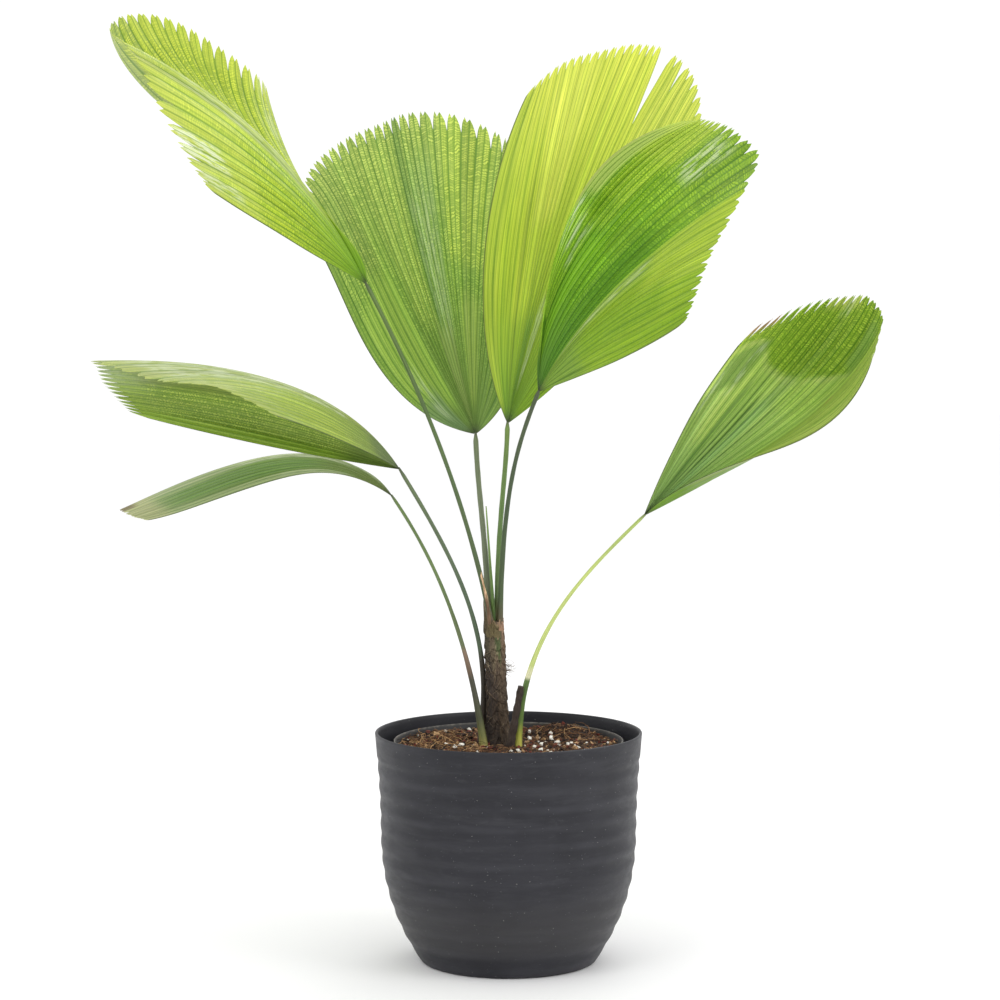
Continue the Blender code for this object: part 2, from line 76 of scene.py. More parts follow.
# Height below the top of a ripple where its band of painted light lies
RIB_LIGHT = 11 * MM
RIB_DEPTH = 0.9 * MM
# Heights over which the ripples fade above the top one and below the lowest one
RIB_FADE_UP = 4 * MM
RIB_FADE_DOWN = 9 * MM
POT_SIDES = 192
POT_RINGS = 150
POT_INNER_RINGS = 40
# Points of the rolled lip: millimetres inside the rim and below the top
POT_LIP = ((0.1, 1.2), (0.5, 0.4), (1.4, 0.0), (2.3, 0.3), (2.9, 1.2))

# Grower pot
LINER_BASE = 4.3 * MM
LINER_BOTTOM_RADIUS = 78 * MM
LINER_RIM_RADIUS = 107.5 * MM
LINER_TOP = 208 * MM
LINER_WALL = 1.6 * MM
LINER_SIDES = 160
LINER_RINGS = 20
LINER_LIP = ((0.0, 2.2), (0.0, 0.5), (0.6, 0.0), (1.2, 0.1), (1.6, 0.8))

# Soil
SOIL_LEVEL = 202.5 * MM
SOIL_LEVEL_RADIUS = 34 * MM
SOIL_EDGE_DROP = 0.8 * MM
SOIL_RINGS = 64
SOIL_SIDES = 180
Lump = namedtuple("Lump", "x y radius height")
SOIL_LUMPS = (
    Lump(48 * MM, 62 * MM, 26 * MM, 10 * MM),
    Lump(-52 * MM, 40 * MM, 30 * MM, 6 * MM),
    Lump(-60 * MM, -38 * MM, 28 * MM, 5 * MM),
    Lump(52 * MM, -50 * MM, 26 * MM, 4 * MM),
)
# Nothing lies on the soil closer than this to the middle of the trunk
SOIL_CLEAR = 14 * MM
CHIP_COUNT = 800
CRUMB_COUNT = 1700
FIBRE_COUNT = 1300
# Share of the fibres in the pale tangle on the left and in the one at the back right
FIBRES_LEFT = 0.35
FIBRES_RIGHT = 0.15
FIBRE_STEPS = 8
FIBRE_TOP = 212 * MM
PERLITE_COUNT = 86
# Share of the perlite that lies in front on the right
PERLITE_RIGHT = 0.6

# Trunk
TRUNK_FOOT = Vector((-9.8 * MM, 10 * MM, SOIL_LEVEL))
TRUNK_TOP = Vector((-13.8 * MM, 10 * MM, 318.5 * MM))
TRUNK_FLARE_RADIUS = 12.4 * MM
TRUNK_FOOT_RADIUS = 9.9 * MM
TRUNK_TOP_RADIUS = 9.0 * MM
TRUNK_FLARE_HEIGHT = 14 * MM
TRUNK_SCARS = 9
TRUNK_SIDES = 96
TRUNK_RINGS = 170
TRUNK_STRANDS = 420
STRAND_STEPS = 8
# Loose hairs that stand off the trunk's right side, round a share of its height
HAIR_COUNT = 26
HAIR_STEPS = 7
HAIR_SHARE = 0.62
HAIR_RADIUS = 0.22 * MM

# Stalks
STALK_SIDES = 16
STALK_RINGS = 150
STALK_NOSE = 8 * MM
STALK_NOSE_RADIUS = 1.0 * MM
STALK_REACH = 2.0 * MM
# A stalk is thicker at its foot by this share, which fades up the stalk
STALK_FLARE = 0.25
STALK_FLARE_FADE = 9.0
# How quickly a leaf stalk thins above its foot
STALK_TAPER = 3.0
STALK_GROOVE = 0.25
# The dark joint at a stalk's head starts at this share of its length
STALK_JOINT = 0.965
STALK_JOINT_COVER = 0.8

# Blades
HUB_RING = 1.6 * MM
PLEAT_HEIGHT = 1.0 * MM
PLEAT_FROM = 0.03
PLEAT_FULL = 0.55
# Height of the folds near the hub, as a share of their full height
PLEAT_LOW = 0.15
# Shares of the rib over which the folds and the waves rise from nothing at the hub
PLEAT_RISE = 0.06
WAVE_RISE = 0.4
BLADE_HALF = 0.26 * MM
EDGE_HALF = 0.12 * MM
WAVE_HEIGHT = 0.8 * MM
NORMAL_STEP = 0.003
ROWS = 60
# Rows lie closer together near the hub by this power
ROW_POWER = 1.15
# The last rows start this far behind the deepest gap between teeth
TOOTH_ROWS = 7
TOOTH_ROOM = 6 * MM
# How far beside a tear the blade is pushed aside, in segments
TEAR_REACH = 3.5
# The outline of one tooth: shares across the segment and how far the edge there
# lies behind the tips, as a share of the tooth's depth
TOOTH = (
    (0.0, 1.0),
    (0.09, 0.55),
    (0.20, 0.24),
    (0.33, 0.0),
    (0.50, 0.30),
    (0.66, 0.03),
    (0.80, 0.26),
    (0.91, 0.55),
)
# Distance between the small cross veins, in millimetres
RUNG_PITCH = 2.7
# Columns of cells between cross veins, and fine veins, in one segment
COLUMNS = 2.0
FINE_VEINS = 6

# A guide rib of a fan: its place across the fan from 0 to 1, and the middle and
# the tip of the rib as offsets from the fan's hub in millimetres. A hook bends it
# out in its outer half and in by as much in its inner half. The blade is folded
# sharply along a rib with a crease.
Rib = namedtuple("Rib", "at mid tip hook crease", defaults=((0, 0, 0), False))
# A place where the fan is torn open: the fold, the share of the rib where the tear
# starts, and its width at the margin in segments
Tear = namedtuple("Tear", "fold start gap")
Frond = namedtuple("Frond", "foot start hub arrive radii segments ribs tears", defaults=((),))

CROWN_Z = TRUNK_TOP.z / MM + 0.3
FOOT_Z = SOIL_LEVEL / MM + 0.3

FRONDS = {
    "upper_left": Frond(
        foot=(-16.5, 3, CROWN_Z), start=(-23, -16, 117),
        hub=(-129.5, -50, 634), arrive=(-48, -10, 92), radii=(2.3, 1.9), segments=26,
        ribs=(
            Rib(0.00, (-66, -95, 42), (-125, -200, 84), (-4, 16, -1)),
            Rib(0.10, (-70, -98, 64), (-142, -200, 109), (6, 11, 1)),
            Rib(0.20, (-76, -98, 89), (-165, -190, 147), (1, 16, 14)),
            Rib(0.27, (-84, -90, 115), (-184, -178, 187), (2, 37, 18)),
            Rib(0.34, (-91, -72, 133), (-201, -160, 209), (-1, 91, 21), True),
            Rib(0.42, (-103, -28, 105), (-220, -85, 227), (220, 24, 26)),
            Rib(0.47, (-106, -12, 114), (-216, -62, 236), (152, -5, 37)),
            Rib(0.53, (-106, 0, 125), (-206, -35, 241), (101, -8, 47)),
            Rib(0.61, (-101, 10, 130), (-186, 0, 242), (90, 0, 59)),
            Rib(0.71, (-95, 22, 126), (-158, 28, 231), (81, -11, 78)),
            Rib(0.81, (-81, 32, 113), (-129, 60, 212), (72, -16, 77)),
            Rib(0.90, (-65, 42, 98), (-105, 92, 194), (42, -11, 34)),
            Rib(1.00, (-58, 52, 87), (-98, 122, 181), (2, -11, 23)),
        )),
    "back": Frond(
        foot=(-18.5, 13.5, CROWN_Z), start=(-3, 9, 88),
        hub=(-31, 50, 491), arrive=(-2, 14, 59), radii=(3.0, 2.5), segments=28,
        ribs=(
            Rib(0.00, (-103, -8, 84), (-166, 20, 205), (-66, 0, -66)),
            Rib(0.16, (-90, 15, 125), (-159, 55, 250), (-28, -13, -125)),
            Rib(0.30, (-73, 33, 138), (-132, 80, 277)),
            Rib(0.45, (-53, 46, 144), (-95, 98, 295)),
            Rib(0.60, (-33, 52, 150), (-59, 110, 307)),
            Rib(0.70, (-16, 50, 148), (-20, 108, 304)),
            Rib(0.80, (6, 44, 140), (21, 98, 286)),
            Rib(0.90, (23, 35, 126), (42, 82, 266)),
            Rib(1.00, (49, 20, 88), (60, 50, 230), (18, -11, -8)),
        )),
    "top": Frond(
        foot=(-10.5, 15, CROWN_Z), start=(0, 0, 100),
        hub=(-1, 0, 504), arrive=(1, -6, 56), radii=(2.6, 2.3), segments=28,
        ribs=(
            Rib(0.00, (-21, -30, 157), (20, -10, 307), (-17, 0, -49)),
            Rib(0.15, (18, -5, 167), (50, 20, 333)),
            Rib(0.32, (37, 15, 174), (87, 42, 346)),
            Rib(0.48, (54, 26, 178), (124, 56, 353)),
            Rib(0.62, (73, 32, 178), (154, 66, 346)),
            Rib(0.80, (92, 38, 150), (182, 76, 305)),
            Rib(1.00, (92, 42, 84), (173, 80, 194), (40, 0, 20)),
        ),
        tears=(Tear(17, 0.79, 1.5), Tear(19, 0.92, 0.4))),
    "upper_right": Frond(
        foot=(-8, 6, CROWN_Z), start=(3, -4, 130),
        hub=(27, -50, 536), arrive=(19, -24, 50), radii=(2.4, 2.0), segments=28,
        ribs=(
            Rib(0.00, (32, 18, 143), (137, 40, 242), (29, 0, -63)),
            Rib(0.08, (25, -4, 153), (134, 14, 246), (41, 5, -53), True),
            Rib(0.20, (32, -4, 148), (143, 6, 246), (2, 5, -39)),
            Rib(0.36, (45, 8, 138), (156, -18, 245), (-51, -48, -24)),
            Rib(0.52, (62, -14, 125), (177, -74, 231), (-53, -48, -17)),
            Rib(0.61, (72, -44, 113), (191, -112, 208), (-15, 11, -1)),
            Rib(0.667, (79, -72, 107), (177, -140, 181), (-24, 53, -8), True),
            Rib(0.76, (72, -76, 86), (156, -148, 143), (-29, 43, -1)),
            Rib(0.84, (65, -80, 70), (143, -156, 116), (-15, 43, 0)),
            Rib(0.92, (64, -82, 50), (134, -164, 92), (-10, 43, 4)),
            Rib(1.00, (67, -82, 31), (124, -172, 70), (10, 43, 9)),
        )),
    "lower_right": Frond(
        foot=(8.5, -9, FOOT_Z), start=(3, -4, 108),
        hub=(124.5, -30, 421), arrive=(58, -8, 58), radii=(3.6, 1.6), segments=20,
        ribs=(
            Rib(0.00, (39, -60, 95), (93, -110, 177), (10, 0, 2)),
            Rib(0.16, (64, -20, 108), (125, -50, 189)),
            Rib(0.32, (90, 25, 108), (162, 20, 198), (1, -11, 3)),
            Rib(0.48, (114, 50, 106), (191, 60, 201), (1, -32, 8)),
            Rib(0.64, (134, 52, 100), (213, 65, 200), (-7, -29, 8)),
            Rib(0.77, (141, 30, 86), (221, 25, 184), (-28, -19, 15)),
            Rib(0.88, (125, -14, 72), (210, -40, 166), (-35, 43, 10)),
            Rib(1.00, (110, -55, 62), (194, -118, 149), (-66, 27, 102)),
        )),
    "left": Frond(
        foot=(-26, 20, FOOT_Z), start=(12, -1, 99),
        hub=(-100.5, -20, 463), arrive=(-61, -8, 101), radii=(3.2, 1.9), segments=26,
        ribs=(
            Rib(0.00, (-53, -92, 35), (-102, -215, 64), (6, -13, 2)),
            Rib(0.18, (-76, -95, 57), (-153, -212, 87), (12, 5, 4)),
            Rib(0.34, (-99, -84, 77), (-206, -190, 91), (31, 5, 12)),
            Rib(0.46, (-122, -58, 88), (-265, -132, 105), (52, 0, 30)),
            Rib(0.56, (-122, -20, 75), (-271, -62, 96), (42, 5, 19)),
            Rib(0.70, (-126, 28, 57), (-279, 38, 79), (46, -27, 19)),
            Rib(0.85, (-127, 48, 37), (-270, 80, 60), (46, -16, -1)),
            Rib(1.00, (-127, 42, 19), (-259, 90, 47)),
        )),
    "low_left": Frond(
        foot=(-23, -3.5, FOOT_Z), start=(-14, 4, 98),
        hub=(-110, 60, 431), arrive=(-45, 24, 62), radii=(3.4, 1.6), segments=20,
        ribs=(
            Rib(0.00, (-117, 0, 15), (-235, 0, -22), (-4, 0, 91)),
            Rib(0.25, (-123, 18, 26), (-252, 20, -20), (11, -11, 81)),
            Rib(0.50, (-128, 40, 35), (-266, 50, -17), (36, -27, 82), True),
            Rib(0.75, (-113, 85, 20), (-245, 130, -25), (67, -53, 99)),
            Rib(1.00, (-96, 100, 14), (-211, 190, -24), (58, -27, 56)),
        )),
}

# Small pieces at the crown and the foot: foot and head in millimetres
SPEAR_FOOT = (-13.5, 9.5, CROWN_Z)
SPEAR_HEAD = (-21, 14, 426)
STUB_FOOT = (1.5, -13, FOOT_Z)
STUB_HEAD = (11.5, -19, 261)
SPEAR_RINGS = 40
SPEAR_SIDES = 18
STUB_RINGS = 30
STUB_SIDES = 20
SHEATH_ROWS = 40
SHEATH_COLUMNS = 9
SHEATH_PATH = ((-18, -1.5, 317), (-18.5, -4.0, 335), (-22, -5.5, 352), (-29, -5, 374))


def tone(red, green, blue):
    """Linear colour of a screen colour given from 0 to 255."""
    linear = []
    for value in (red, green, blue):
        share = value / 255
        linear.append(share / 12.92 if share <= 0.04045 else ((share + 0.055) / 1.055) ** 2.4)
    return np.array(linear)


# A soft-edged area of a blade with its own colour: from and to across the fan, from
# and to along the rib, the colour and how strongly it covers. Ladder and pleat light, if
# given, replace how strongly the cross veins and the painted light bands of segments show.
Zone = namedtuple("Zone", "u_from u_to t_from t_to colour cover ladder stripe soft",
                  defaults=(None, None, (0.03, 0.08)))
# An area where light glances off in pale streaks along the ribs
Shine = namedtuple("Shine", "u_from u_to t_from t_to cover soft", defaults=((0.02, 0.06),))
# A line across the ribs where the blade is bent, as pairs of a place across the fan and
# a share of the rib, with its own colour beyond it and a painted highlight along its crest
Bend = namedtuple("Bend", "line colour cover ladder stripe crest")
# The look of a blade: its colours at the hub, in the middle and at the margin, how
# strongly cross veins and the painted light bands of its segments show, its teeth as
# pairs of a place across the fan and a depth in millimetres, how blunt their tips are,
# its zones, how far the teeth point to one side, its shines, the share of its colours
# kept on the skin that faces away from the fold of the fan, for blades whose colours are
# lifted with painted light for the shaded skin inside the fold, and its bend
Look = namedtuple("Look", "base ladder stripe teeth blunt zones slant shines behind bend",
                  defaults=(0.0, (), 1.0, None))
BEND_SOFT = 0.022
# Width of the painted highlight along a bend's crest, as a share of the rib
CREST_SHARE = 0.014

LOOKS = {
    "upper_left": Look(
        (tone(110, 157, 33), tone(167, 192, 47), tone(179, 196, 67)), 0.85, 0.35,
        ((0.0, 13), (0.06, 20), (0.14, 26), (0.22, 30), (0.30, 20), (0.45, 10),
         (0.60, 13), (0.72, 17), (0.85, 20), (1.0, 18)), 0.2,
        (
            Zone(0.00, 0.30, 0.62, 0.95, tone(184, 201, 76), 0.7, 0.35),
            Zone(0.00, 0.32, 0.90, 1.00, tone(176, 190, 78), 0.7, 0.1),
            Zone(0.28, 0.40, 0.20, 0.86, tone(156, 177, 52), 0.75, 0.0, 0.7),
            Zone(0.385, 0.455, 0.30, 1.00, tone(164, 184, 92), 0.75, 0.6, 0.1),
            Zone(0.50, 1.00, 0.45, 1.00, tone(176, 195, 55), 0.8, 0.85, 0.4),
            Zone(0.50, 1.00, 0.90, 1.00, tone(197, 211, 82), 0.35, 0.3),
        ),
        shines=(
            Shine(0.03, 0.08, 0.74, 0.98, 0.55),
            Shine(0.12, 0.19, 0.76, 0.99, 0.85),
            Shine(0.30, 0.37, 0.30, 0.80, 0.22),
            Shine(0.90, 0.95, 0.60, 1.00, 0.35),
        )),
    "back": Look(
        (tone(112, 141, 67), tone(147, 181, 75), tone(172, 194, 93)), 1.0, 0.3,
        ((0.0, 20), (0.3, 18), (0.5, 16), (1.0, 17)), 0.1,
        (
            Zone(0.00, 0.28, 0.12, 0.55, tone(154, 188, 78), 0.8, 0.2, 0.8),
            Zone(0.00, 0.04, 0.15, 0.95, tone(126, 161, 66), 0.7, 0.4, 0.2),
            Zone(0.00, 0.20, 0.02, 0.20, tone(114, 143, 96), 0.7, 0.1, 0.6),
            Zone(0.10, 0.26, 0.58, 0.95, tone(159, 183, 87), 0.6, 1.0, 0.2),
            Zone(0.34, 0.48, 0.36, 0.92, tone(180, 204, 95), 0.6, 0.9, 0.3),
            # Painted shade along the shallow valley in the middle of the fan
            Zone(0.49, 0.53, 0.35, 1.00, tone(100, 137, 66), 0.6, 0.7, 0.0),
            # Paler middle: partly the waxy bloom on the leaf, partly painted sheen
            Zone(0.53, 0.63, 0.34, 0.86, tone(159, 190, 105), 0.6, 0.8, 0.1, (0.03, 0.12)),
            Zone(0.66, 0.80, 0.55, 1.00, tone(187, 209, 87), 0.7, 1.0, 0.3),
            Zone(0.70, 0.80, 0.10, 0.45, tone(166, 188, 88), 0.5, 0.2, 0.5),
            Zone(0.45, 0.60, 0.05, 0.35, tone(152, 171, 96), 0.5, 0.1, 0.6),
        ),
        slant=-0.17,
        shines=(
            Shine(0.51, 0.61, 0.32, 0.74, 0.28, (0.05, 0.2)),
            Shine(0.10, 0.16, 0.10, 0.30, 0.30),
        )),
    # Its bright lime colours are its own, lightened further with painted light for the light that
    # shines through the blade from behind
    "top": Look(
        (tone(98, 139, 38), tone(176, 200, 56), tone(207, 216, 79)), 0.05, 0.3,
        ((0.0, 8), (0.1, 11), (0.5, 12), (0.75, 13), (1.0, 8)), 0.3,
        (
            Zone(0.00, 0.05, 0.05, 0.98, tone(168, 190, 63), 0.7),
            Zone(0.10, 0.26, 0.30, 0.80, tone(188, 208, 61), 0.5),
            Zone(0.16, 0.34, 0.55, 0.98, tone(217, 224, 91), 0.5, 0.0, 0.2),
            Zone(0.64, 1.00, 0.60, 1.00, tone(184, 198, 78), 0.6, 0.05, 0.5),
            Zone(0.30, 0.42, 0.05, 0.28, tone(100, 143, 54), 0.6, 0.0, 0.6),
            Zone(0.80, 1.00, 0.02, 0.40, tone(123, 158, 32), 0.7, 0.1, 0.5),
        ),
        slant=0.17,
        shines=(
            Shine(0.46, 0.54, 0.10, 0.32, 0.45),
        )),
    "upper_right": Look(
        (tone(76, 118, 41), tone(120, 173, 35), tone(146, 182, 46)), 0.85, 0.3,
        ((0.0, 5), (0.15, 10), (0.3, 13), (0.5, 13), (0.62, 10), (0.7, 12), (0.85, 14),
         (1.0, 11)), 0.2,
        (
            # Painted shade in the channel of the main face beside the crease
            Zone(0.57, 0.667, 0.02, 0.66, tone(81, 130, 25), 0.8, 0.6, 0.0, (0.05, 0.20)),
            Zone(0.36, 0.46, 0.10, 0.52, tone(132, 187, 35), 0.7, 0.2, 0.3, (0.02, 0.06)),
            Zone(0.06, 0.34, 0.12, 0.60, tone(171, 214, 59), 0.7, 0.6, 0.5),
            Zone(0.22, 0.40, 0.56, 0.82, tone(171, 204, 57), 0.7, 0.8, 0.3),
            Zone(0.10, 0.40, 0.57, 0.64, tone(119, 168, 33), 0.55, 0.8, 0.0, (0.08, 0.06)),
            Zone(0.47, 0.56, 0.50, 0.62, tone(110, 147, 37), 0.5, 0.6, 0.0, (0.03, 0.06)),
            Zone(0.16, 0.44, 0.80, 1.00, tone(176, 201, 67), 0.8, 0.5, 0.3, (0.04, 0.07)),
            Zone(0.06, 0.20, 0.62, 0.93, tone(167, 189, 91), 0.85, 0.1, 0.4, (0.03, 0.05)),
            Zone(0.50, 0.66, 0.80, 1.00, tone(116, 157, 25), 0.6, 0.9, 0.2),
            Zone(0.00, 0.10, 0.56, 0.92, tone(158, 174, 86), 0.95, 0.0, 0.5, (0.03, 0.05)),
            Zone(0.00, 0.22, 0.92, 1.00, tone(180, 200, 88), 0.8, 0.0, 0.4, (0.03, 0.04)),
            Zone(0.667, 1.00, 0.00, 1.00, tone(136, 170, 38), 1.0, 0.12, 0.25, (0.004, 0.04)),
            Zone(0.667, 1.00, 0.00, 0.30, tone(115, 148, 57), 0.8, 0.0, 0.6, (0.004, 0.14)),
            Zone(0.667, 0.74, 0.10, 0.80, tone(135, 167, 61), 0.8, 0.0, 1.0, (0.012, 0.10)),
            Zone(0.667, 0.84, 0.62, 1.02, tone(171, 196, 59), 0.7, 0.1, 0.2, (0.012, 0.10)),
            Zone(0.80, 0.92, 0.30, 0.78, tone(119, 157, 32), 0.55, 0.2, 0.2),
            Zone(0.94, 1.00, 0.45, 1.00, tone(128, 165, 27), 0.6, 0.1, 0.2),
        ),
        slant=0.06,
        shines=(
            Shine(0.10, 0.15, 0.44, 0.60, 0.75),
            Shine(0.19, 0.24, 0.42, 0.56, 0.60),
            Shine(0.28, 0.33, 0.40, 0.54, 0.60),
            Shine(0.46, 0.55, 0.80, 0.95, 0.58),
            Shine(0.68, 0.71, 0.15, 0.60, 0.35),
        )),
    # Its colours are lifted with painted light, as the skin inside its deep fold lies in shade,
    # and are paler before the bend for a painted sheen on its lower part
    "lower_right": Look(
        (tone(155, 190, 114), tone(204, 230, 133), tone(177, 202, 76)), 0.15, 0.6,
        ((0.0, 26), (0.1, 32), (0.2, 31), (0.35, 22), (0.5, 15), (0.65, 10), (0.8, 6),
         (1.0, 2)), 0.2,
        (
            Zone(0.00, 0.12, 0.02, 0.60, tone(118, 149, 66), 0.75, 0.0, 0.4),
            Zone(0.435, 0.465, 0.16, 0.50, tone(92, 132, 70), 0.8, 0.0, 0.2, (0.02, 0.10)),
            Zone(0.48, 0.56, 0.06, 0.50, tone(190, 233, 154), 0.5, 0.0, 0.4, (0.03, 0.08)),
            Zone(0.305, 0.325, 0.08, 0.56, tone(96, 136, 76), 0.75, 0.0, 0.0, (0.012, 0.14)),
            Zone(0.385, 0.400, 0.08, 0.62, tone(88, 128, 78), 0.75, 0.0, 0.0, (0.010, 0.14)),
            Zone(0.500, 0.512, 0.08, 0.52, tone(84, 122, 72), 0.7, 0.0, 0.0, (0.010, 0.14)),
            Zone(0.590, 0.602, 0.10, 0.50, tone(92, 130, 74), 0.6, 0.0, 0.0, (0.010, 0.14)),
            Zone(0.18, 0.30, 0.30, 0.62, tone(210, 229, 128), 0.6, 0.0, 0.8),
            Zone(0.03, 0.24, 0.56, 0.80, tone(138, 169, 89), 0.85, 0.0, 0.3, (0.03, 0.05)),
            Zone(0.50, 0.58, 0.46, 0.60, tone(176, 202, 124), 0.6, 0.2, 0.2),
            Zone(0.40, 0.62, 0.93, 1.00, tone(206, 214, 112), 0.6, 0.5, 0.2, (0.06, 0.04)),
            Zone(0.72, 0.80, 0.74, 0.95, tone(147, 177, 106), 0.6, 0.4, 0.0, (0.03, 0.06)),
            Zone(0.56, 0.76, 0.48, 0.62, tone(200, 229, 112), 0.5, 0.3, 0.3),
            Zone(0.84, 1.00, 0.10, 1.00, tone(168, 188, 90), 0.85, 0.1, 0.4, (0.03, 0.10)),
            Zone(0.86, 1.00, 0.00, 0.40, tone(128, 178, 16), 0.95, 0.0, 0.5, (0.04, 0.14)),
            Zone(0.96, 1.00, 0.20, 1.00, tone(174, 192, 99), 0.7, 0.0, 0.3),
            Zone(0.848, 0.872, 0.665, 0.705, tone(206, 160, 96), 0.8, 0.0, 0.0, (0.014, 0.02)),
            Zone(0.00, 0.165, 0.935, 1.00, tone(186, 136, 108), 0.95, 0.0, 0.0, (0.01, 0.02)),
        ),
        shines=(
            Shine(0.18, 0.22, 0.52, 0.78, 0.55),
            Shine(0.03, 0.07, 0.50, 0.74, 0.45),
            Shine(0.52, 0.58, 0.90, 1.00, 0.45),
        ),
        slant=0.2,
        # The skin facing away from the fold keeps only this share of the colours lifted with
        # painted light
        behind=0.6,
        # The bend, with a painted highlight along its crest
        bend=Bend(((0.0, 0.86), (0.03, 0.87), (0.18, 0.82), (0.32, 0.66), (0.45, 0.61),
                   (0.59, 0.59), (0.70, 0.66), (0.81, 0.78), (0.84, 1.0), (1.0, 1.3)),
                  tone(160, 192, 62), 0.9, 1.0, 0.1, tone(206, 214, 140))),
    "left": Look(
        (tone(114, 135, 76), tone(174, 193, 89), tone(176, 190, 98)), 0.3, 0.35,
        ((0.0, 12), (0.12, 19), (0.3, 20), (0.45, 13), (0.6, 17), (0.8, 21), (1.0, 18)), 0.1,
        (
            Zone(0.00, 0.22, 0.35, 1.00, tone(164, 183, 80), 0.8, 0.35),
            Zone(0.00, 0.26, 0.88, 1.00, tone(169, 183, 84), 0.8, 0.05),
            Zone(0.36, 0.52, 0.10, 1.00, tone(153, 167, 88), 0.7, 0.1, 0.4),
            Zone(0.00, 0.50, 0.02, 0.16, tone(112, 128, 84), 0.7, 0.0, 0.4),
            Zone(0.54, 1.00, 0.00, 1.00, tone(139, 163, 65), 1.0, 1.0, 0.1, (0.02, 0.04)),
            # Painted shadow on the far wing just under the flap
            Zone(0.54, 0.68, 0.10, 0.92, tone(112, 129, 53), 0.8, 0.3, 0.0, (0.03, 0.10)),
            Zone(0.54, 1.00, 0.88, 1.00, tone(135, 161, 57), 0.7, 0.3, 0.2),
            Zone(0.92, 1.00, 0.10, 0.95, tone(147, 179, 62), 0.6, 0.3, 0.2),
            Zone(0.54, 1.00, 0.00, 0.22, tone(101, 124, 53), 0.8, 0.0, 0.2, (0.03, 0.10)),
        ),
        slant=-0.08,
        shines=(
            Shine(0.34, 0.46, 0.25, 0.92, 0.50),
        )),
    "low_left": Look(
        (tone(120, 134, 75), tone(130, 158, 85), tone(153, 169, 120)), 0.12, 0.55,
        ((0.0, 3), (0.4, 6), (0.6, 6), (1.0, 3)), 0.2,
        (
            Zone(0.00, 0.08, 0.20, 0.95, tone(167, 181, 131), 0.8, 0.0, 0.6),
            Zone(0.12, 0.34, 0.30, 0.85, tone(123, 156, 84), 0.75, 0.2, 0.4, (0.05, 0.12)),
            Zone(0.40, 0.56, 0.20, 0.90, tone(181, 189, 149), 0.6, 0.0, 0.7),
            Zone(0.62, 0.90, 0.20, 0.90, tone(122, 150, 80), 0.6, 0.1, 0.4),
            Zone(0.00, 1.00, 0.89, 1.00, tone(185, 186, 139), 0.85, 0.0, 0.3, (0.03, 0.06)),
            Zone(0.38, 0.62, 0.95, 1.00, tone(128, 112, 82), 0.8, 0.0, 0.0, (0.03, 0.03)),
        ),
        shines=(
            Shine(0.02, 0.07, 0.15, 0.45, 0.45),
            Shine(0.40, 0.50, 0.15, 0.60, 0.50),
        )),
}

# Dark line along the two straight edges of a blade, its width in segments, and the
# dark joint at its hub
EDGE_TONE = tone(104, 108, 62)
EDGE_COVER = 0.8
EDGE_WIDTH = 0.13
HUB_TONE = tone(66, 72, 54)
HUB_COVER = 0.9
HUB_FADE = 9 * MM
SHINE_TONE = tone(222, 230, 196)

# Colours of the stalks: pairs of a share from the foot to the hub and a colour
STALK_LOOKS = {
    "upper_left": ((0.0, tone(92, 76, 54)), (0.06, tone(74, 90, 54)), (0.4, tone(78, 100, 56)),
                   (1.0, tone(96, 120, 60))),
    "back": ((0.0, tone(112, 96, 70)), (0.10, tone(98, 104, 80)), (0.4, tone(110, 120, 94)),
             (1.0, tone(104, 116, 82))),
    "top": ((0.0, tone(116, 100, 70)), (0.08, tone(100, 122, 72)), (0.35, tone(92, 122, 62)),
            (1.0, tone(104, 130, 60))),
    "upper_right": ((0.0, tone(84, 74, 52)), (0.06, tone(66, 84, 48)), (0.35, tone(62, 80, 50)),
                    (1.0, tone(72, 84, 56))),
    "lower_right": ((0.0, tone(196, 190, 92)), (0.035, tone(176, 180, 74)),
                    (0.08, tone(104, 132, 60)), (0.217, tone(88, 118, 56)),
                    (0.227, tone(226, 224, 186)),
                    (0.252, tone(222, 222, 176)), (0.272, tone(200, 214, 128)),
                    (0.6, tone(190, 204, 118)), (1.0, tone(166, 186, 100))),
    "left": ((0.0, tone(66, 54, 44)), (0.20, tone(60, 54, 46)), (0.29, tone(66, 62, 52)),
             (0.34, tone(80, 98, 74)), (0.6, tone(82, 100, 76)), (1.0, tone(96, 112, 74))),
    "low_left": ((0.0, tone(160, 152, 86)), (0.03, tone(126, 128, 72)), (0.09, tone(76, 80, 52)),
                 (0.22, tone(66, 64, 48)), (0.25, tone(104, 84, 66)), (0.32, tone(132, 108, 88)),
                 (0.345, tone(96, 108, 70)), (0.6, tone(104, 126, 76)), (1.0, tone(110, 132, 80))),
}


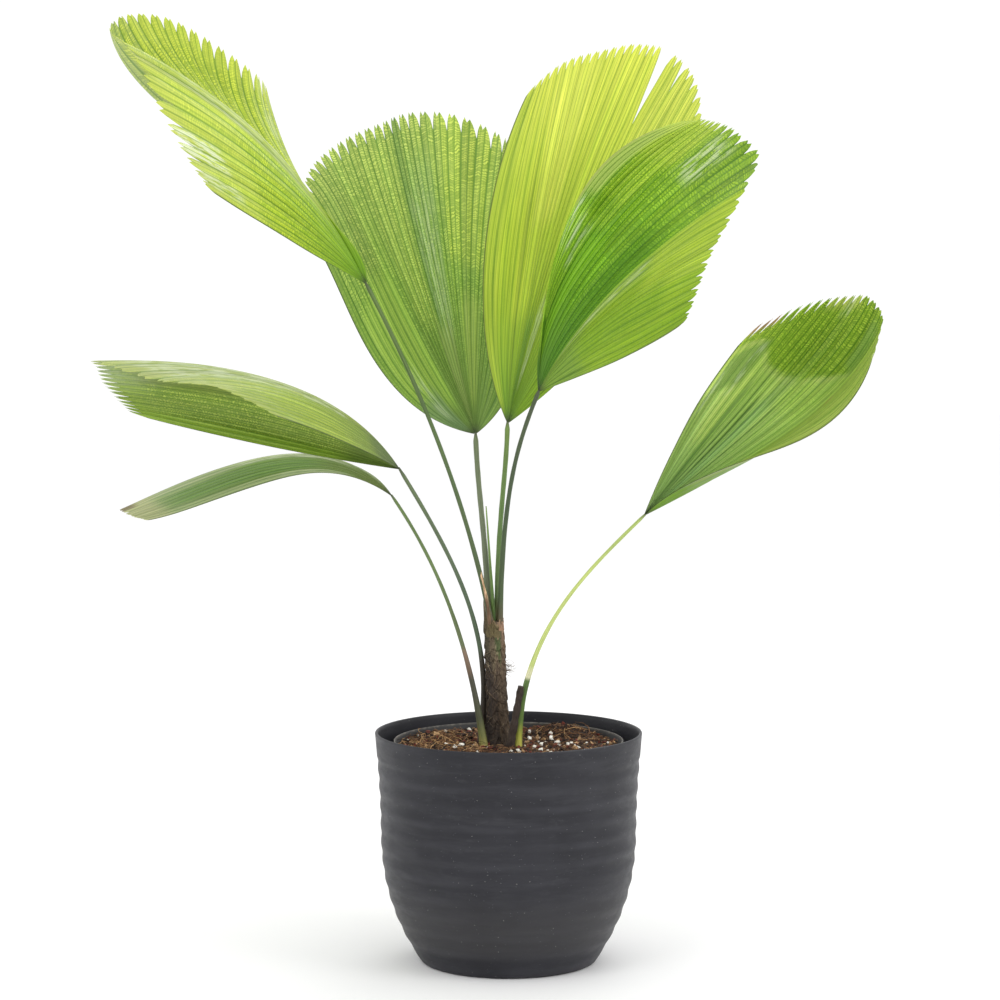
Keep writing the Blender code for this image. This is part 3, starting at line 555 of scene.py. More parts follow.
class Shader:
    """One material and the nodes that are added to it step by step."""

    def __init__(self, name, roughness=0.5, specular=0.5):
        self.material = bpy.data.materials.new(name)
        self.material.use_nodes = True
        self.tree = self.material.node_tree
        self.surface = self.tree.nodes["Principled BSDF"]
        self.surface.inputs["Roughness"].default_value = roughness
        self.surface.inputs["Specular IOR Level"].default_value = specular

    def node(self, kind, settings=None, inputs=None):
        """A new node with its settings, and values or other nodes at its inputs."""
        made = self.tree.nodes.new("ShaderNode" + kind)
        for key, value in (settings or {}).items():
            setattr(made, key, value)
        for key, value in (inputs or {}).items():
            self.put(made.inputs[key], value)
        return made

    def put(self, socket, value):
        """Link another node to an input, or set a colour or a number there."""
        if isinstance(value, bpy.types.NodeSocket):
            self.tree.links.new(value, socket)
        elif isinstance(value, np.ndarray):
            socket.default_value = (*[float(part) for part in value], 1.0)
        else:
            socket.default_value = value

    def math(self, operation, first, second=0.0):
        return self.node("Math", {"operation": operation}, {0: first, 1: second}).outputs[0]

    def times(self, first, *others):
        """Product of two or more values."""
        for other in others:
            first = self.math("MULTIPLY", first, other)
        return first

    def plus(self, first, second):
        return self.math("ADD", first, second)

    def minus(self, first, second):
        return self.math("SUBTRACT", first, second)

    def from_middle(self, value):
        """How far the fraction of a value lies from one half."""
        return self.math("ABSOLUTE", self.minus(self.math("FRACT", value), 0.5))

    def step(self, value, low, high, start=0.0, end=1.0):
        """Smooth step from start at low to end at high."""
        made = self.node("MapRange", {"interpolation_type": "SMOOTHSTEP"},
                         {"Value": value, "From Min": low, "From Max": high,
                          "To Min": start, "To Max": end})
        return made.outputs["Result"]

    def mix(self, share, first, second, blend="MIX"):
        """First colour with a share of the second one mixed in."""
        made = self.node("Mix", {"data_type": "RGBA", "blend_type": blend})
        self.put(made.inputs["Factor"], share)
        self.put(made.inputs[6], first)
        self.put(made.inputs[7], second)
        return made.outputs[2]

    def ramp(self, value, stops):
        """Colours that follow a value, from pairs of a place and a colour."""
        made = self.node("ValToRGB", None, {"Fac": value})
        ramp = made.color_ramp
        while len(ramp.elements) < len(stops):
            ramp.elements.new(0.5)
        for element, (place, colour) in zip(ramp.elements, stops):
            element.position = place
            element.color = (*colour, 1.0)
        return made.outputs["Color"]

    def noise(self, vector, scale, detail=3.0, roughness=0.55):
        made = self.node("TexNoise", None, {"Vector": vector, "Scale": scale,
                                            "Detail": detail, "Roughness": roughness})
        return made.outputs["Fac"]

    def random(self, first, second):
        """A random value of its own for each pair of whole numbers."""
        pair = self.node("CombineXYZ", None, {"X": first, "Y": second}).outputs[0]
        made = self.node("TexWhiteNoise", {"noise_dimensions": "2D"}, {"Vector": pair})
        return made.outputs["Value"]

    def streaks(self, vector, scale, detail=3.0, roughness=0.55):
        """Noise that is stretched by a scale of its own along each axis."""
        made = self.node("Mapping", None, {"Vector": vector, "Scale": scale})
        return self.noise(made.outputs["Vector"], 1.0, detail, roughness)

    def place(self):
        """Where each point lies in the frame of the part."""
        return self.node("TexCoord").outputs["Object"]

    def split(self, vector):
        """The three parts of a vector."""
        return self.node("SeparateXYZ", None, {"Vector": vector}).outputs

    def attribute(self, name):
        """A colour that the mesh holds for each of its points."""
        return self.node("Attribute", {"attribute_name": name}).outputs["Color"]

    def veins(self):
        """The map that holds places across and along a piece."""
        return self.node("UVMap", {"uv_map": "veins"}).outputs["UV"]

    def shades(self, dark, light):
        """The piece's own tint, and a darker and a lighter shade of it."""
        tint = self.attribute("tint")
        return (tint, self.mix(1.0, tint, np.array(dark), "MULTIPLY"),
                self.mix(1.0, tint, np.array(light), "MULTIPLY"))

    def bump(self, height, distance, strength=1.0):
        made = self.node("Bump", None, {"Height": height, "Distance": distance,
                                        "Strength": strength})
        return made.outputs["Normal"]

    def finish(self, colour=None, roughness=None, normal=None):
        """The material, with its colour, roughness and relief set."""
        if colour is not None:
            self.put(self.surface.inputs["Base Color"], colour)
        if roughness is not None:
            self.put(self.surface.inputs["Roughness"], roughness)
        if normal is not None:
            self.put(self.surface.inputs["Normal"], normal)
        return self.material


def blade_material(name):
    """Leaf skin: fold lines, painted light bands along its segments, fine veins, cross veins and
    soft streaks.
    """
    shader = Shader(name, specular=0.25)
    tint, dark, light = shader.shades((0.34, 0.50, 0.36), (1.62, 1.42, 1.6))
    strengths = shader.node("SeparateColor", None, {"Color": shader.attribute("detail")})
    ladder, stripe, shine = strengths.outputs[:3]
    veins = shader.veins()
    across, along = shader.split(veins)[:2]
    place = shader.place()
    middle = shader.from_middle(across)
    fold = shader.minus(0.5, middle)
    fold_line = shader.step(fold, 0.02, 0.11, 1.0, 0.0)
    rib_line = shader.step(middle, 0.01, 0.08, 1.0, 0.0)
    # Painted light along the middle of each segment
    painted_crest_light = shader.step(middle, 0.12, 0.36, 1.0, 0.0)
    own = shader.random(shader.math("FLOOR", across), 0.0)
    streak = shader.streaks(veins, (7.0, 0.012, 1.0))
    glance = shader.streaks(veins, (3.4, 0.04, 1.0), 4.0, 0.6)
    patch = shader.noise(place, 30.0, 2.0)

    # Columns of small cells, parted by dark rungs
    columns = shader.times(across, COLUMNS)
    column = shader.math("FLOOR", columns)
    inside = shader.from_middle(columns)
    wobble = shader.streaks(veins, (1.3, 0.05, 1.0), 2.0)
    start = shader.times(shader.random(column, 3.0), 7.0)
    phase = shader.plus(shader.math("DIVIDE", along, RUNG_PITCH), start)
    phase = shader.plus(phase, shader.times(wobble, 5.0))
    beat = shader.from_middle(phase)
    chance = shader.random(column, shader.math("FLOOR", phase))
    shown = shader.times(ladder, shader.step(patch, 0.30, 0.62, 0.6, 1.0))
    rung = shader.times(shader.step(beat, 0.22, 0.44), shader.step(inside, 0.05, 0.40, 0.5, 1.0),
                        shader.step(chance, 0.0, 0.8, 0.3, 1.0), shown)
    bead = shader.times(shader.step(beat, 0.16, 0.40, 1.0, 0.0),
                        shader.step(inside, 0.22, 0.44, 1.0, 0.0),
                        shader.step(chance, 0.1, 1.0, 0.2, 1.0), shown)
    dim = shader.times(shader.step(chance, 0.0, 0.6, 0.45, 0.0), shown)
    seam = shader.times(shader.step(inside, 0.38, 0.48), shader.step(ladder, 0.0, 0.6, 0.05, 0.45))
    fine = shader.math("SINE", shader.times(across, 2 * math.pi * FINE_VEINS))
    varied = shader.step(own, 0.0, 1.0, 0.7, 1.0)
    glint = shader.times(shine, shader.step(glance, 0.42, 0.56, 0.0, 0.95))
    heavy = shader.times(varied, shader.step(ladder, 0.0, 0.6, 0.55, 1.0))

    colour = shader.mix(shader.step(streak, 0.34, 0.5, 0.42, 0.0), tint, dark)
    for share, shade in (
            (shader.step(streak, 0.5, 0.66, 0.0, 0.50), light),
            # Painted light along the middle of each segment and painted shade towards its folds
            (shader.times(painted_crest_light, stripe, varied, 0.7), light),
            (shader.times(shader.minus(1.0, painted_crest_light), stripe, 0.30), dark),
            (shader.times(shown, 0.10), dark),
            (dim, dark),
            (shader.times(bead, 0.95), light),
            (shader.times(rung, 0.85), dark),
            (seam, dark),
            (glint, SHINE_TONE),
            (shader.times(rib_line, 0.62), dark),
            (shader.step(fine, 0.0, 1.0, 0.0, 0.26), dark),
            (shader.times(fold_line, heavy), dark)):
        colour = shader.mix(share, colour, shade)
    rough = shader.step(shader.noise(place, 60.0), 0.25, 0.75, 0.38, 0.54)
    height = shader.plus(shader.times(bead, 0.5), shader.times(fine, 0.12))
    height = shader.minus(height, shader.times(fold_line, 0.7))
    height = shader.minus(height, shader.times(rung, 0.4))
    return shader.finish(colour, rough, shader.bump(height, 0.35 * MM, 0.8))


def stalk_material():
    """Smooth stalk skin with long fine streaks and small dark specks."""
    shader = Shader("stalk_skin")
    tint, dark, light = shader.shades((0.50, 0.56, 0.5), (1.3, 1.26, 1.2))
    streak = shader.streaks(shader.veins(), (1.6, 0.025, 1.0), 4.0, 0.65)
    speck = shader.noise(shader.place(), 700.0, 2.0)
    colour = shader.mix(shader.step(streak, 0.34, 0.66), dark, light)
    colour = shader.mix(0.45, colour, tint)
    colour = shader.mix(shader.step(speck, 0.62, 0.72, 0.0, 0.5), colour, dark)
    rough = shader.step(streak, 0.3, 0.7, 0.40, 0.58)
    return shader.finish(colour, rough, shader.bump(streak, 0.25 * MM, 0.6))


def bark_material():
    """Brown fibres that cross each other at a slant, over the trunk's own colours."""
    shader = Shader("trunk_bark", 0.85)
    tint, dark, light = shader.shades((0.24, 0.22, 0.20), (1.9, 1.8, 1.7))
    around, along = shader.split(shader.veins())[:2]
    weave = []
    for slant, fine in ((0.45, 2.2), (-0.6, 1.8), (0.05, 1.5)):
        leaning = shader.plus(around, shader.times(along, slant))
        pair = shader.node("CombineXYZ", None, {"X": shader.times(leaning, fine),
                                                "Y": shader.times(along, 0.16)}).outputs[0]
        weave.append(shader.noise(pair, 1.0, 4.0, 0.7))
    strand = shader.plus(shader.times(shader.math("MAXIMUM", weave[0], weave[1]), 0.6),
                         shader.times(weave[2], 0.4))
    patch = shader.noise(shader.place(), 150.0, 4.0)
    colour = shader.mix(shader.step(strand, 0.40, 0.56, 0.9, 0.0), tint, dark)
    colour = shader.mix(shader.step(strand, 0.56, 0.70, 0.0, 0.9), colour, light)
    colour = shader.mix(shader.step(patch, 0.54, 0.70, 0.0, 0.55), colour, dark)
    height = shader.plus(strand, shader.times(patch, 0.5))
    return shader.finish(colour, None, shader.bump(height, 0.9 * MM))


def sheath_material():
    """Dry papery skin with fine fibres along it."""
    shader = Shader("dry_sheath", 0.8)
    tint, dark, _ = shader.shades((0.5, 0.45, 0.4), (1.0, 1.0, 1.0))
    fleck = shader.streaks(shader.place(), (900.0, 900.0, 120.0))
    return shader.finish(shader.mix(shader.step(fleck, 0.35, 0.6), dark, tint))


def soil_material():
    """Dark moist soil with paler grain and darker clods."""
    shader = Shader("soil_bed", 0.95)
    place = shader.place()
    grain = shader.noise(place, 260.0, 6.0, 0.7)
    clod = shader.noise(place, 70.0, 4.0)
    colour = shader.ramp(grain, (
        (0.34, tone(26, 16, 10)), (0.5, tone(58, 38, 24)),
        (0.62, tone(104, 74, 48)), (0.78, tone(160, 126, 92))))
    colour = shader.mix(shader.step(clod, 0.35, 0.65, 0.0, 0.5), colour, tone(40, 26, 17))
    return shader.finish(colour, None, shader.bump(shader.plus(grain, clod), 2.0 * MM))


def grain_material(name, colour, roughness=0.9, spread=0.35, grain=500.0):
    """Small pieces in one colour with light and dark grain."""
    shader = Shader(name, roughness)
    fleck = shader.noise(shader.place(), grain)
    light = np.minimum(colour * (1 + spread), 1.0)
    mixed = shader.mix(shader.step(fleck, 0.3, 0.7), colour * (1 - spread), light)
    return shader.finish(mixed, None, shader.bump(fleck, 0.4 * MM, 0.7))


def pot_material():
    """Charcoal moulded plastic with cloudy dust, painted light on its ripples and tiny pale
    specks.
    """
    shader = Shader("planter_plastic", specular=0.3)
    place = shader.place()
    cloud = shader.noise(place, 14.0, 4.0)
    dust = shader.streaks(place, (60.0, 60.0, 160.0), 5.0, 0.7)
    smudge = shader.streaks(place, (9.0, 9.0, 70.0), 5.0, 0.65)
    height = shader.split(place)["Z"]
    ripple = shader.math("DIVIDE", shader.minus(RIB_TOP - RIB_LIGHT, height), RIB_PITCH)
    # Painted light on the ripples, broken up by streaky noise and fading out at the top one
    painted_ripple_light = shader.times(
        shader.step(shader.streaks(place, (18.0, 18.0, 40.0)), 0.35, 0.7, 0.1, 0.7),
        shader.step(shader.from_middle(ripple), 0.18, 0.46),
        shader.step(height, RIB_TOP - 2 * MM, RIB_TOP, 1.0, 0.0))
    low = shader.times(shader.step(height, 14 * MM, 30 * MM),
                       shader.step(height, 50 * MM, 90 * MM, 0.5, 0.0))
    colour = shader.mix(shader.step(cloud, 0.3, 0.7), tone(30, 30, 36), tone(40, 40, 46))
    for share, shade in (
            (shader.step(smudge, 0.46, 0.68, 0.0, 0.6), tone(52, 52, 57)),
            (shader.step(smudge, 0.28, 0.44, 0.5, 0.0), tone(24, 24, 30)),
            (shader.step(dust, 0.5, 0.8, 0.0, 0.45), tone(62, 62, 66)),
            (painted_ripple_light, tone(52, 52, 58)),
            (low, tone(58, 57, 58))):
        colour = shader.mix(share, colour, shade)
    for size, rarity, pale in ((620.0, 0.95, tone(120, 120, 126)),
                               (420.0, 0.965, tone(150, 148, 146))):
        specks = shader.node("TexVoronoi", {"feature": "F1"},
                             {"Vector": place, "Scale": size, "Randomness": 1.0}).outputs
        chosen = shader.node("SeparateColor", None, {"Color": specks["Color"]}).outputs[0]
        speck = shader.times(shader.math("LESS_THAN", specks["Distance"], 0.16),
                             shader.math("GREATER_THAN", chosen, rarity), 0.6)
        colour = shader.mix(speck, colour, pale)
    rough = shader.step(dust, 0.3, 0.8, 0.42, 0.58)
    rise = shader.plus(shader.times(dust, 0.4), shader.noise(place, 900.0, 2.0))
    return shader.finish(colour, rough, shader.bump(rise, 0.12 * MM, 0.6))


def liner_material():
    """Thin dark plastic with a dusty rim."""
    shader = Shader("liner_plastic", 0.6)
    place = shader.place()
    dust = shader.noise(place, 120.0, 5.0, 0.7)
    near_rim = shader.step(shader.split(place)["Z"], LINER_TOP - 2.5 * MM, LINER_TOP, 0.0, 0.6)
    share = shader.times(shader.step(dust, 0.4, 0.7, 0.2, 1.0), near_rim)
    colour = shader.mix(share, tone(38, 38, 40), tone(150, 142, 130))
    return shader.finish(colour, None, shader.bump(dust, 0.3 * MM, 0.5))


def add_mesh(name, verts, faces, materials, kinds=None, smooth=True, angle=40):
    """Object from points and faces, with its faces turned outwards."""
    mesh = bpy.data.meshes.new(name)
    mesh.from_pydata(np.asarray(verts).tolist(), [], faces)
    for material in materials:
        mesh.materials.append(material)
    if kinds is not None:
        mesh.polygons.foreach_set("material_index", np.asarray(kinds, dtype=np.int32))
    if smooth:
        mesh.shade_smooth()
        mesh.set_sharp_from_angle(angle=math.radians(angle))
    obj = bpy.data.objects.new(name, mesh)
    bpy.context.scene.collection.objects.link(obj)
    return obj


def two_skins(rows, columns):
    """Faces of a thin sheet: its front, its back and the rim between them, as point numbers."""
    count = rows * columns
    index = np.arange(count).reshape(rows, columns)
    front = np.stack([index[:-1, :-1].ravel(), index[:-1, 1:].ravel(),
                      index[1:, 1:].ravel(), index[1:, :-1].ravel()], axis=1)
    loop = np.concatenate([index[0, :], index[1:, -1], index[-1, -2::-1], index[-2:0:-1, 0]])
    ahead = np.roll(loop, -1)
    rim = np.stack([ahead, loop, loop + count, ahead + count], axis=1)
    return np.concatenate([front, front[:, ::-1] + count, rim])


def turn_outwards(obj):
    """Turn all faces so that they look away from the inside."""
    bm = bmesh.new()
    bm.from_mesh(obj.data)
    bmesh.ops.recalc_face_normals(bm, faces=bm.faces)
    bm.to_mesh(obj.data)
    bm.free()


def set_colours(obj, name, colours):
    """Colour of every point, as an attribute for the material to read."""
    attribute = obj.data.color_attributes.new(name, "FLOAT_COLOR", "POINT")
    values = np.ones((len(colours), 4), dtype=np.float32)
    values[:, :3] = colours
    attribute.data.foreach_set("color", values.ravel())


def set_uv(obj, name, values):
    """UV map from one pair of numbers for each face corner."""
    layer = obj.data.uv_layers.new(name=name)
    layer.data.foreach_set("uv", np.asarray(values, dtype=np.float32).ravel())


def dress(obj, slot, *nodes):
    """Fix a piece to the part's body, in place of its solids."""
    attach(obj, BODY)
    if nodes:
        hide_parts(*nodes)
    return obj


def shares(count):
    """Evenly spaced shares from 0 to 1."""
    return [k / (count - 1) for k in range(count)]


def smooth_through(knots, values, x, creases=()):
    """Smooth curve through values at uneven knots, with a corner at each crease."""
    knots = np.asarray(knots)
    values = np.asarray(values, dtype=float)
    slopes = np.gradient(values, knots, axis=0)
    leave = slopes[:-1].copy()
    reach = slopes[1:].copy()
    straight = np.diff(values, axis=0) / np.diff(knots)[:, None]
    for k in creases:
        reach[k - 1] = straight[k - 1]
        leave[k] = straight[k]
    x = np.clip(x, knots[0], knots[-1])
    cell = np.clip(np.searchsorted(knots, x, side="right") - 1, 0, len(knots) - 2)
    width = knots[cell + 1] - knots[cell]
    s = ((x - knots[cell]) / width)[..., None]
    width = width[..., None]
    blend = s * s * (3 - 2 * s)
    rise_low = s * (1 - s) ** 2
    rise_high = s * s * (s - 1)
    level = values[cell] * (1 - blend) + values[cell + 1] * blend
    return level + width * (leave[cell] * rise_low + reach[cell] * rise_high)


class Fan:
    """The smooth sheet of a blade, spanned by its guide ribs."""

    def __init__(self, frond):
        self.hub = np.array(frond.hub) * MM
        self.knots = [rib.at for rib in frond.ribs]
        self.spans = np.array([rib.mid + rib.tip + rib.hook for rib in frond.ribs]) * MM
        self.creases = [k for k, rib in enumerate(frond.ribs) if rib.crease]

    def spread(self, u):
        """Middle, tip and hook of the rib at each place across the fan."""
        spans = smooth_through(self.knots, self.spans, u, self.creases)
        return spans[..., :3], spans[..., 3:6], spans[..., 6:]

    def point(self, u, t):
        """Point at share u across the fan and share t along its rib."""
        mid, tip, hook = self.spread(u)
        t = t[..., None]
        bend = hook * t * (1 - t) * (1 - 2 * t)
        return self.hub + mid * 4 * t * (1 - t) + tip * t * (2 * t - 1) + bend

    def rib_length(self, u):
        """Straight distance from the hub to the rib's tip."""
        return np.linalg.norm(self.spread(u)[1], axis=-1)

    def ring_share(self, u):
        """Share along each rib at which it leaves the hub ring."""
        step = np.full_like(u, 0.001)
        speed = np.linalg.norm(self.point(u, step) - self.hub, axis=-1) / 0.001
        return HUB_RING / speed

    def normal(self, u, t):
        """Unit normal of the sheet, from small steps across and along it."""
        across = self.point(np.minimum(u + NORMAL_STEP, 1), t)
        across = across - self.point(np.maximum(u - NORMAL_STEP, 0), t)
        along = self.point(u, t + NORMAL_STEP) - self.point(u, t - NORMAL_STEP)
        normal = np.cross(across, along)
        return normal / np.linalg.norm(normal, axis=-1, keepdims=True)


def opened(x, t, tears):
    """Places across the fan, pushed apart where the fan is torn."""
    moved = x.copy()
    for tear in tears:
        rise = np.clip((t - tear.start) / (1 - tear.start), 0, 1)
        near = np.clip(1 - np.abs(x - tear.fold) / TEAR_REACH, 0, 1)
        moved = moved + np.sign(x - tear.fold) * tear.gap / 2 * rise * near
    return moved


def soft_band(x, low, high, soft):
    """1 between low and high, falling softly to 0; an end at 0 or 1 stays open."""
    low = -9.0 if low <= 0 else low
    high = 9.0 if high >= 1 else high
    inside = np.clip((x - low) / soft + 0.5, 0, 1) * np.clip((high - x) / soft + 0.5, 0, 1)
    return inside * inside * (3 - 2 * inside)


def area_weight(area, u, t):
    """How fully each point lies in a soft-edged area of a blade."""
    across = soft_band(u, area.u_from, area.u_to, area.soft[0])
    return across * soft_band(t, area.t_from, area.t_to, area.soft[1])


def covered(colours, other, cover):
    """Colours with another one laid over them, point by point."""
    return colours + (other - colours) * cover[..., None]


def paint(look, fan, x, u, t, segments, number):
    """Colour of a blade and the strength of its veins, painted light bands and painted shine,
    point by point.
    """
    rng = np.random.RandomState(PAINT_SEED + number)
    low, mid, high = look.base
    share = np.clip(t, 0, 1)[..., None]
    colour = low + (mid - low) * np.clip(share / 0.5, 0, 1)
    colour = colour + (high - mid) * np.clip((share - 0.5) / 0.5, 0, 1)
    ladder = look.ladder * np.clip(t / 0.25 - 0.35, 0.05, 1)
    # How strongly the painted light and shade across the segments show
    stripe = np.full(t.shape, look.stripe)
    if look.bend:
        line = np.interp(u, [place for place, _ in look.bend.line],
                         [along for _, along in look.bend.line])
        weight = np.clip((t - line) / BEND_SOFT + 0.5, 0, 1)
        colour = covered(colour, look.bend.colour, weight * look.bend.cover)
        ladder = ladder + (look.bend.ladder - ladder) * weight
        stripe = stripe + (look.bend.stripe - stripe) * weight
        # Painted highlight along the crest of the bend
        crest = np.exp(-((t - line + CREST_SHARE) / CREST_SHARE) ** 2) * 0.5
        colour = covered(colour, look.bend.crest, crest)
    for zone in look.zones:
        weight = area_weight(zone, u, t)
        colour = covered(colour, zone.colour, weight * zone.cover)
        if zone.ladder is not None:
            ladder = ladder + (zone.ladder - ladder) * weight
        if zone.stripe is not None:
            stripe = stripe + (zone.stripe - stripe) * weight
    shine = np.zeros(t.shape)
    for area in look.shines:
        shine = np.maximum(shine, area_weight(area, u, t) * area.cover)
    wave = 0.0
    for _ in range(5):
        across, along = rng.uniform(3, 22), rng.uniform(-4, 4)
        wave = wave + np.sin(across * u * 2 * math.pi + along * t + rng.uniform(0, 6))
    halves = rng.normal(1.0, 0.05, 2 * segments + 2).clip(0.93, 1.05)
    shade = halves[np.floor(2 * np.broadcast_to(x, t.shape)).astype(int)]
    colour = colour * ((1 + 0.03 * wave) * shade)[..., None]
    rim = np.clip(1 - np.minimum(x, segments - x) / EDGE_WIDTH, 0, 1)
    colour = covered(colour, EDGE_TONE, np.broadcast_to(rim, t.shape) * EDGE_COVER)
    hub = np.exp(-(t * fan.rib_length(u) / HUB_FADE) ** 2)
    colour = covered(colour, HUB_TONE, hub * HUB_COVER)
    detail = np.stack([ladder, stripe, shine], axis=-1)
    return np.clip(colour, 0, 1), np.clip(detail, 0, 1)


def panel_edge(look, frond, first, last, rng):
    """Columns across one panel of a fan and how far its margin lies behind the tips."""
    x = []
    recess = []
    depth = np.interp((np.arange(first, last + 1)) / frond.segments,
                      [place for place, _ in look.teeth],
                      [deep * MM for _, deep in look.teeth])
    depth = depth * rng.uniform(0.85, 1.15, len(depth))
    for segment in range(first, last):
        lean = rng.uniform(-0.2, 0.2)
        for share, back in TOOTH:
            if share == 0:
                behind = depth[segment - first]
            else:
                behind = back * (depth[segment - first] + depth[segment - first + 1]) / 2
                behind *= 1 + lean * (share - 0.5) * 2
                if share == 0.5:
                    behind *= 1 - 0.6 * look.blunt
                else:
                    behind *= 1 - 0.3 * look.blunt
            x.append(segment + share + look.slant * 4 * share * (1 - share))
            recess.append(behind)
    x.append(last)
    recess.append(depth[-1])
    for rib in frond.ribs:
        place = rib.at * frond.segments
        if rib.crease and first < place < last and min(abs(np.array(x) - place)) > 0.02:
            after = int(np.searchsorted(x, place))
            recess.insert(after, (recess[after - 1] + recess[after]) / 2)
            x.insert(after, place)
    return np.array(x, dtype=float), np.array(recess)


def make_blade(name, frond, number):
    """One pleated, toothed fan of two close skins, in one or more torn panels."""
    rng = np.random.RandomState(BLADE_SEED + number)
    look = LOOKS[name]
    fan = Fan(frond)
    folds = [0] + sorted(tear.fold for tear in frond.tears) + [frond.segments]
    waves = [(rng.uniform(2, 9), rng.uniform(4, 14), rng.uniform(0, 2 * math.pi))
             for _ in range(4)]
    verts = []
    faces = []
    tints = []
    details = []
    corner_veins = []
    corner_bake = []
    total = 0
    for first, last in zip(folds, folds[1:]):
        x, recess = panel_edge(look, frond, first, last, rng)
        inset = np.where(x <= first, 1e-3, np.where(x >= last, -1e-3, 0.0))
        u0 = x / frond.segments
        length = fan.rib_length(u0)
        start = fan.ring_share(u0)
        end = 1 - recess / length
        neck = 1 - (recess.max() + TOOTH_ROOM) / length
        plain = ROWS - TOOTH_ROWS
        t_rows = []
        for row in range(plain):
            t_rows.append(start + (neck - start) * (row / plain) ** ROW_POWER)
        for row in range(TOOTH_ROWS + 1):
            t_rows.append(neck + (end - neck) * row / TOOTH_ROWS)
        t = np.array(t_rows)
        xx = np.broadcast_to(x + inset, t.shape)
        u = np.clip(opened(xx, t, frond.tears) / frond.segments, 0, 1)
        cell = x - np.floor(x)
        crest = 0.5 - np.abs(cell - 0.5) * 2
        fade = np.clip((t - PLEAT_FROM) / (PLEAT_FULL - PLEAT_FROM), 0, 1)
        pleat = crest[None, :] * PLEAT_HEIGHT * (PLEAT_LOW + (1 - PLEAT_LOW) * fade)
        pleat = pleat * np.clip(t / PLEAT_RISE, 0, 1)
        wave = 0.0
        for across, along, phase in waves:
            wave = wave + np.sin(across * u * 2 * math.pi + along * t + phase)
        wave = wave / len(waves) * WAVE_HEIGHT * np.clip(t / WAVE_RISE, 0, 1)
        normal = fan.normal(u, t)
        middle = fan.point(u, t) + normal * (pleat + wave)[..., None]
        half = np.full(t.shape, BLADE_HALF)
        half[-1] = EDGE_HALF
        count = t.size
        panel = two_skins(*t.shape)
        faces.append(panel + total)
        colour, detail = paint(look, fan, x, u, t, frond.segments, number)
        for side in (1, -1):
            verts.append((middle + side * normal * half[..., None]).reshape(-1, 3))
            # The skin on the other side keeps only a share of the colours, which some blades carry
            # lifted with painted light for the shaded skin inside their fold
            tints.append(colour.reshape(-1, 3) * (1.0 if side > 0 else look.behind))
            details.append(detail.reshape(-1, 3))
        distance = t * length[None, :] / MM
        vein = np.stack([np.broadcast_to(x, t.shape), distance], axis=-1).reshape(-1, 2)
        wide = np.stack([0.004 + 0.49 * np.broadcast_to(u0, t.shape),
                         0.004 + 0.99 * t], axis=-1).reshape(-1, 2)
        own = panel % count
        corner_veins.append(vein[own].reshape(-1, 2))
        flat = wide[own]
        front = (t.shape[0] - 1) * (t.shape[1] - 1)
        flat[front:2 * front, :, 0] += 0.5
        corner_bake.append(flat.reshape(-1, 2))
        total += 2 * count
    obj = add_mesh("fan_" + name, np.concatenate(verts), np.concatenate(faces).tolist(),
                   [blade_material("leaf_" + name)], angle=50)
    set_colours(obj, "tint", np.concatenate(tints))
    set_colours(obj, "detail", np.concatenate(details))
    set_uv(obj, "veins", np.concatenate(corner_veins))
    set_uv(obj, "OFBake", np.concatenate(corner_bake))
    return dress(obj, "blade_green", "blade_" + name)


def bezier(points, t):
    """Point at share t along a cubic curve."""
    a, b, c, d = points
    s = 1 - t
    return a * s ** 3 + b * 3 * s * s * t + c * 3 * s * t * t + d * t ** 3


def ring_faces(rings, sides):
    """Faces of a closed tube of rings of points, with its two ends."""
    faces = []
    for ring in range(rings - 1):
        for k in range(sides):
            n = (k + 1) % sides
            low = ring * sides
            high = low + sides
            faces.append((low + k, low + n, high + n, high + k))
    faces.append(tuple(range(sides))[::-1])
    faces.append(tuple((rings - 1) * sides + k for k in range(sides)))
    return faces


def tube(path, radii, sides, groove=0.0):
    """Rings of points and the faces of a tube along a list of points."""
    path = [Vector(p) for p in path]
    verts = []
    side = None
    for k, centre in enumerate(path):
        ahead = path[min(k + 1, len(path) - 1)]
        behind = path[max(k - 1, 0)]
        along = (ahead - behind).normalized()
        if side is None:
            side = along.orthogonal().normalized()
        side = (side - along * side.dot(along)).normalized()
        front = along.cross(side)
        for j in range(sides):
            angle = 2 * math.pi * j / sides
            radius = radii[k] * (1 - groove * max(0.0, math.cos(angle)) ** 6)
            verts.append(centre + radius * (side * math.cos(angle) + front * math.sin(angle)))
    return [tuple(v) for v in verts], ring_faces(len(path), sides)


def tube_uv(path, sides):
    """For each face corner of a tube: millimetres round it and along it."""
    along = [0.0]
    for low, high in zip(path, path[1:]):
        along.append(along[-1] + (high - low).length / MM)
    corners = []
    for k in range(len(path) - 1):
        for j in range(sides):
            for ring, side in ((k, j), (k, j + 1), (k + 1, j + 1), (k + 1, j)):
                corners.append((side, along[ring]))
    return corners + [(0.0, 0.0)] * (2 * sides)


def make_rod(name, points, radii, sides, groove, material, colours, slot, node):
    """A grooved round piece with its own colours, in place of one solid."""
    verts, faces = tube(points, radii, sides, groove)
    obj = add_mesh(name, verts, faces, [material], angle=60)
    set_uv(obj, "veins", tube_uv(points, sides))
    set_colours(obj, "tint", colours)
    return dress(obj, slot, node)


def frond_path(frond):
    """The four points that span a stalk's curve."""
    foot = Vector(frond.foot) * MM
    arrive = Vector(frond.arrive) * MM
    head = Vector(frond.hub) * MM + arrive.normalized() * STALK_REACH
    return (foot, foot + Vector(frond.start) * MM, head - arrive, head)


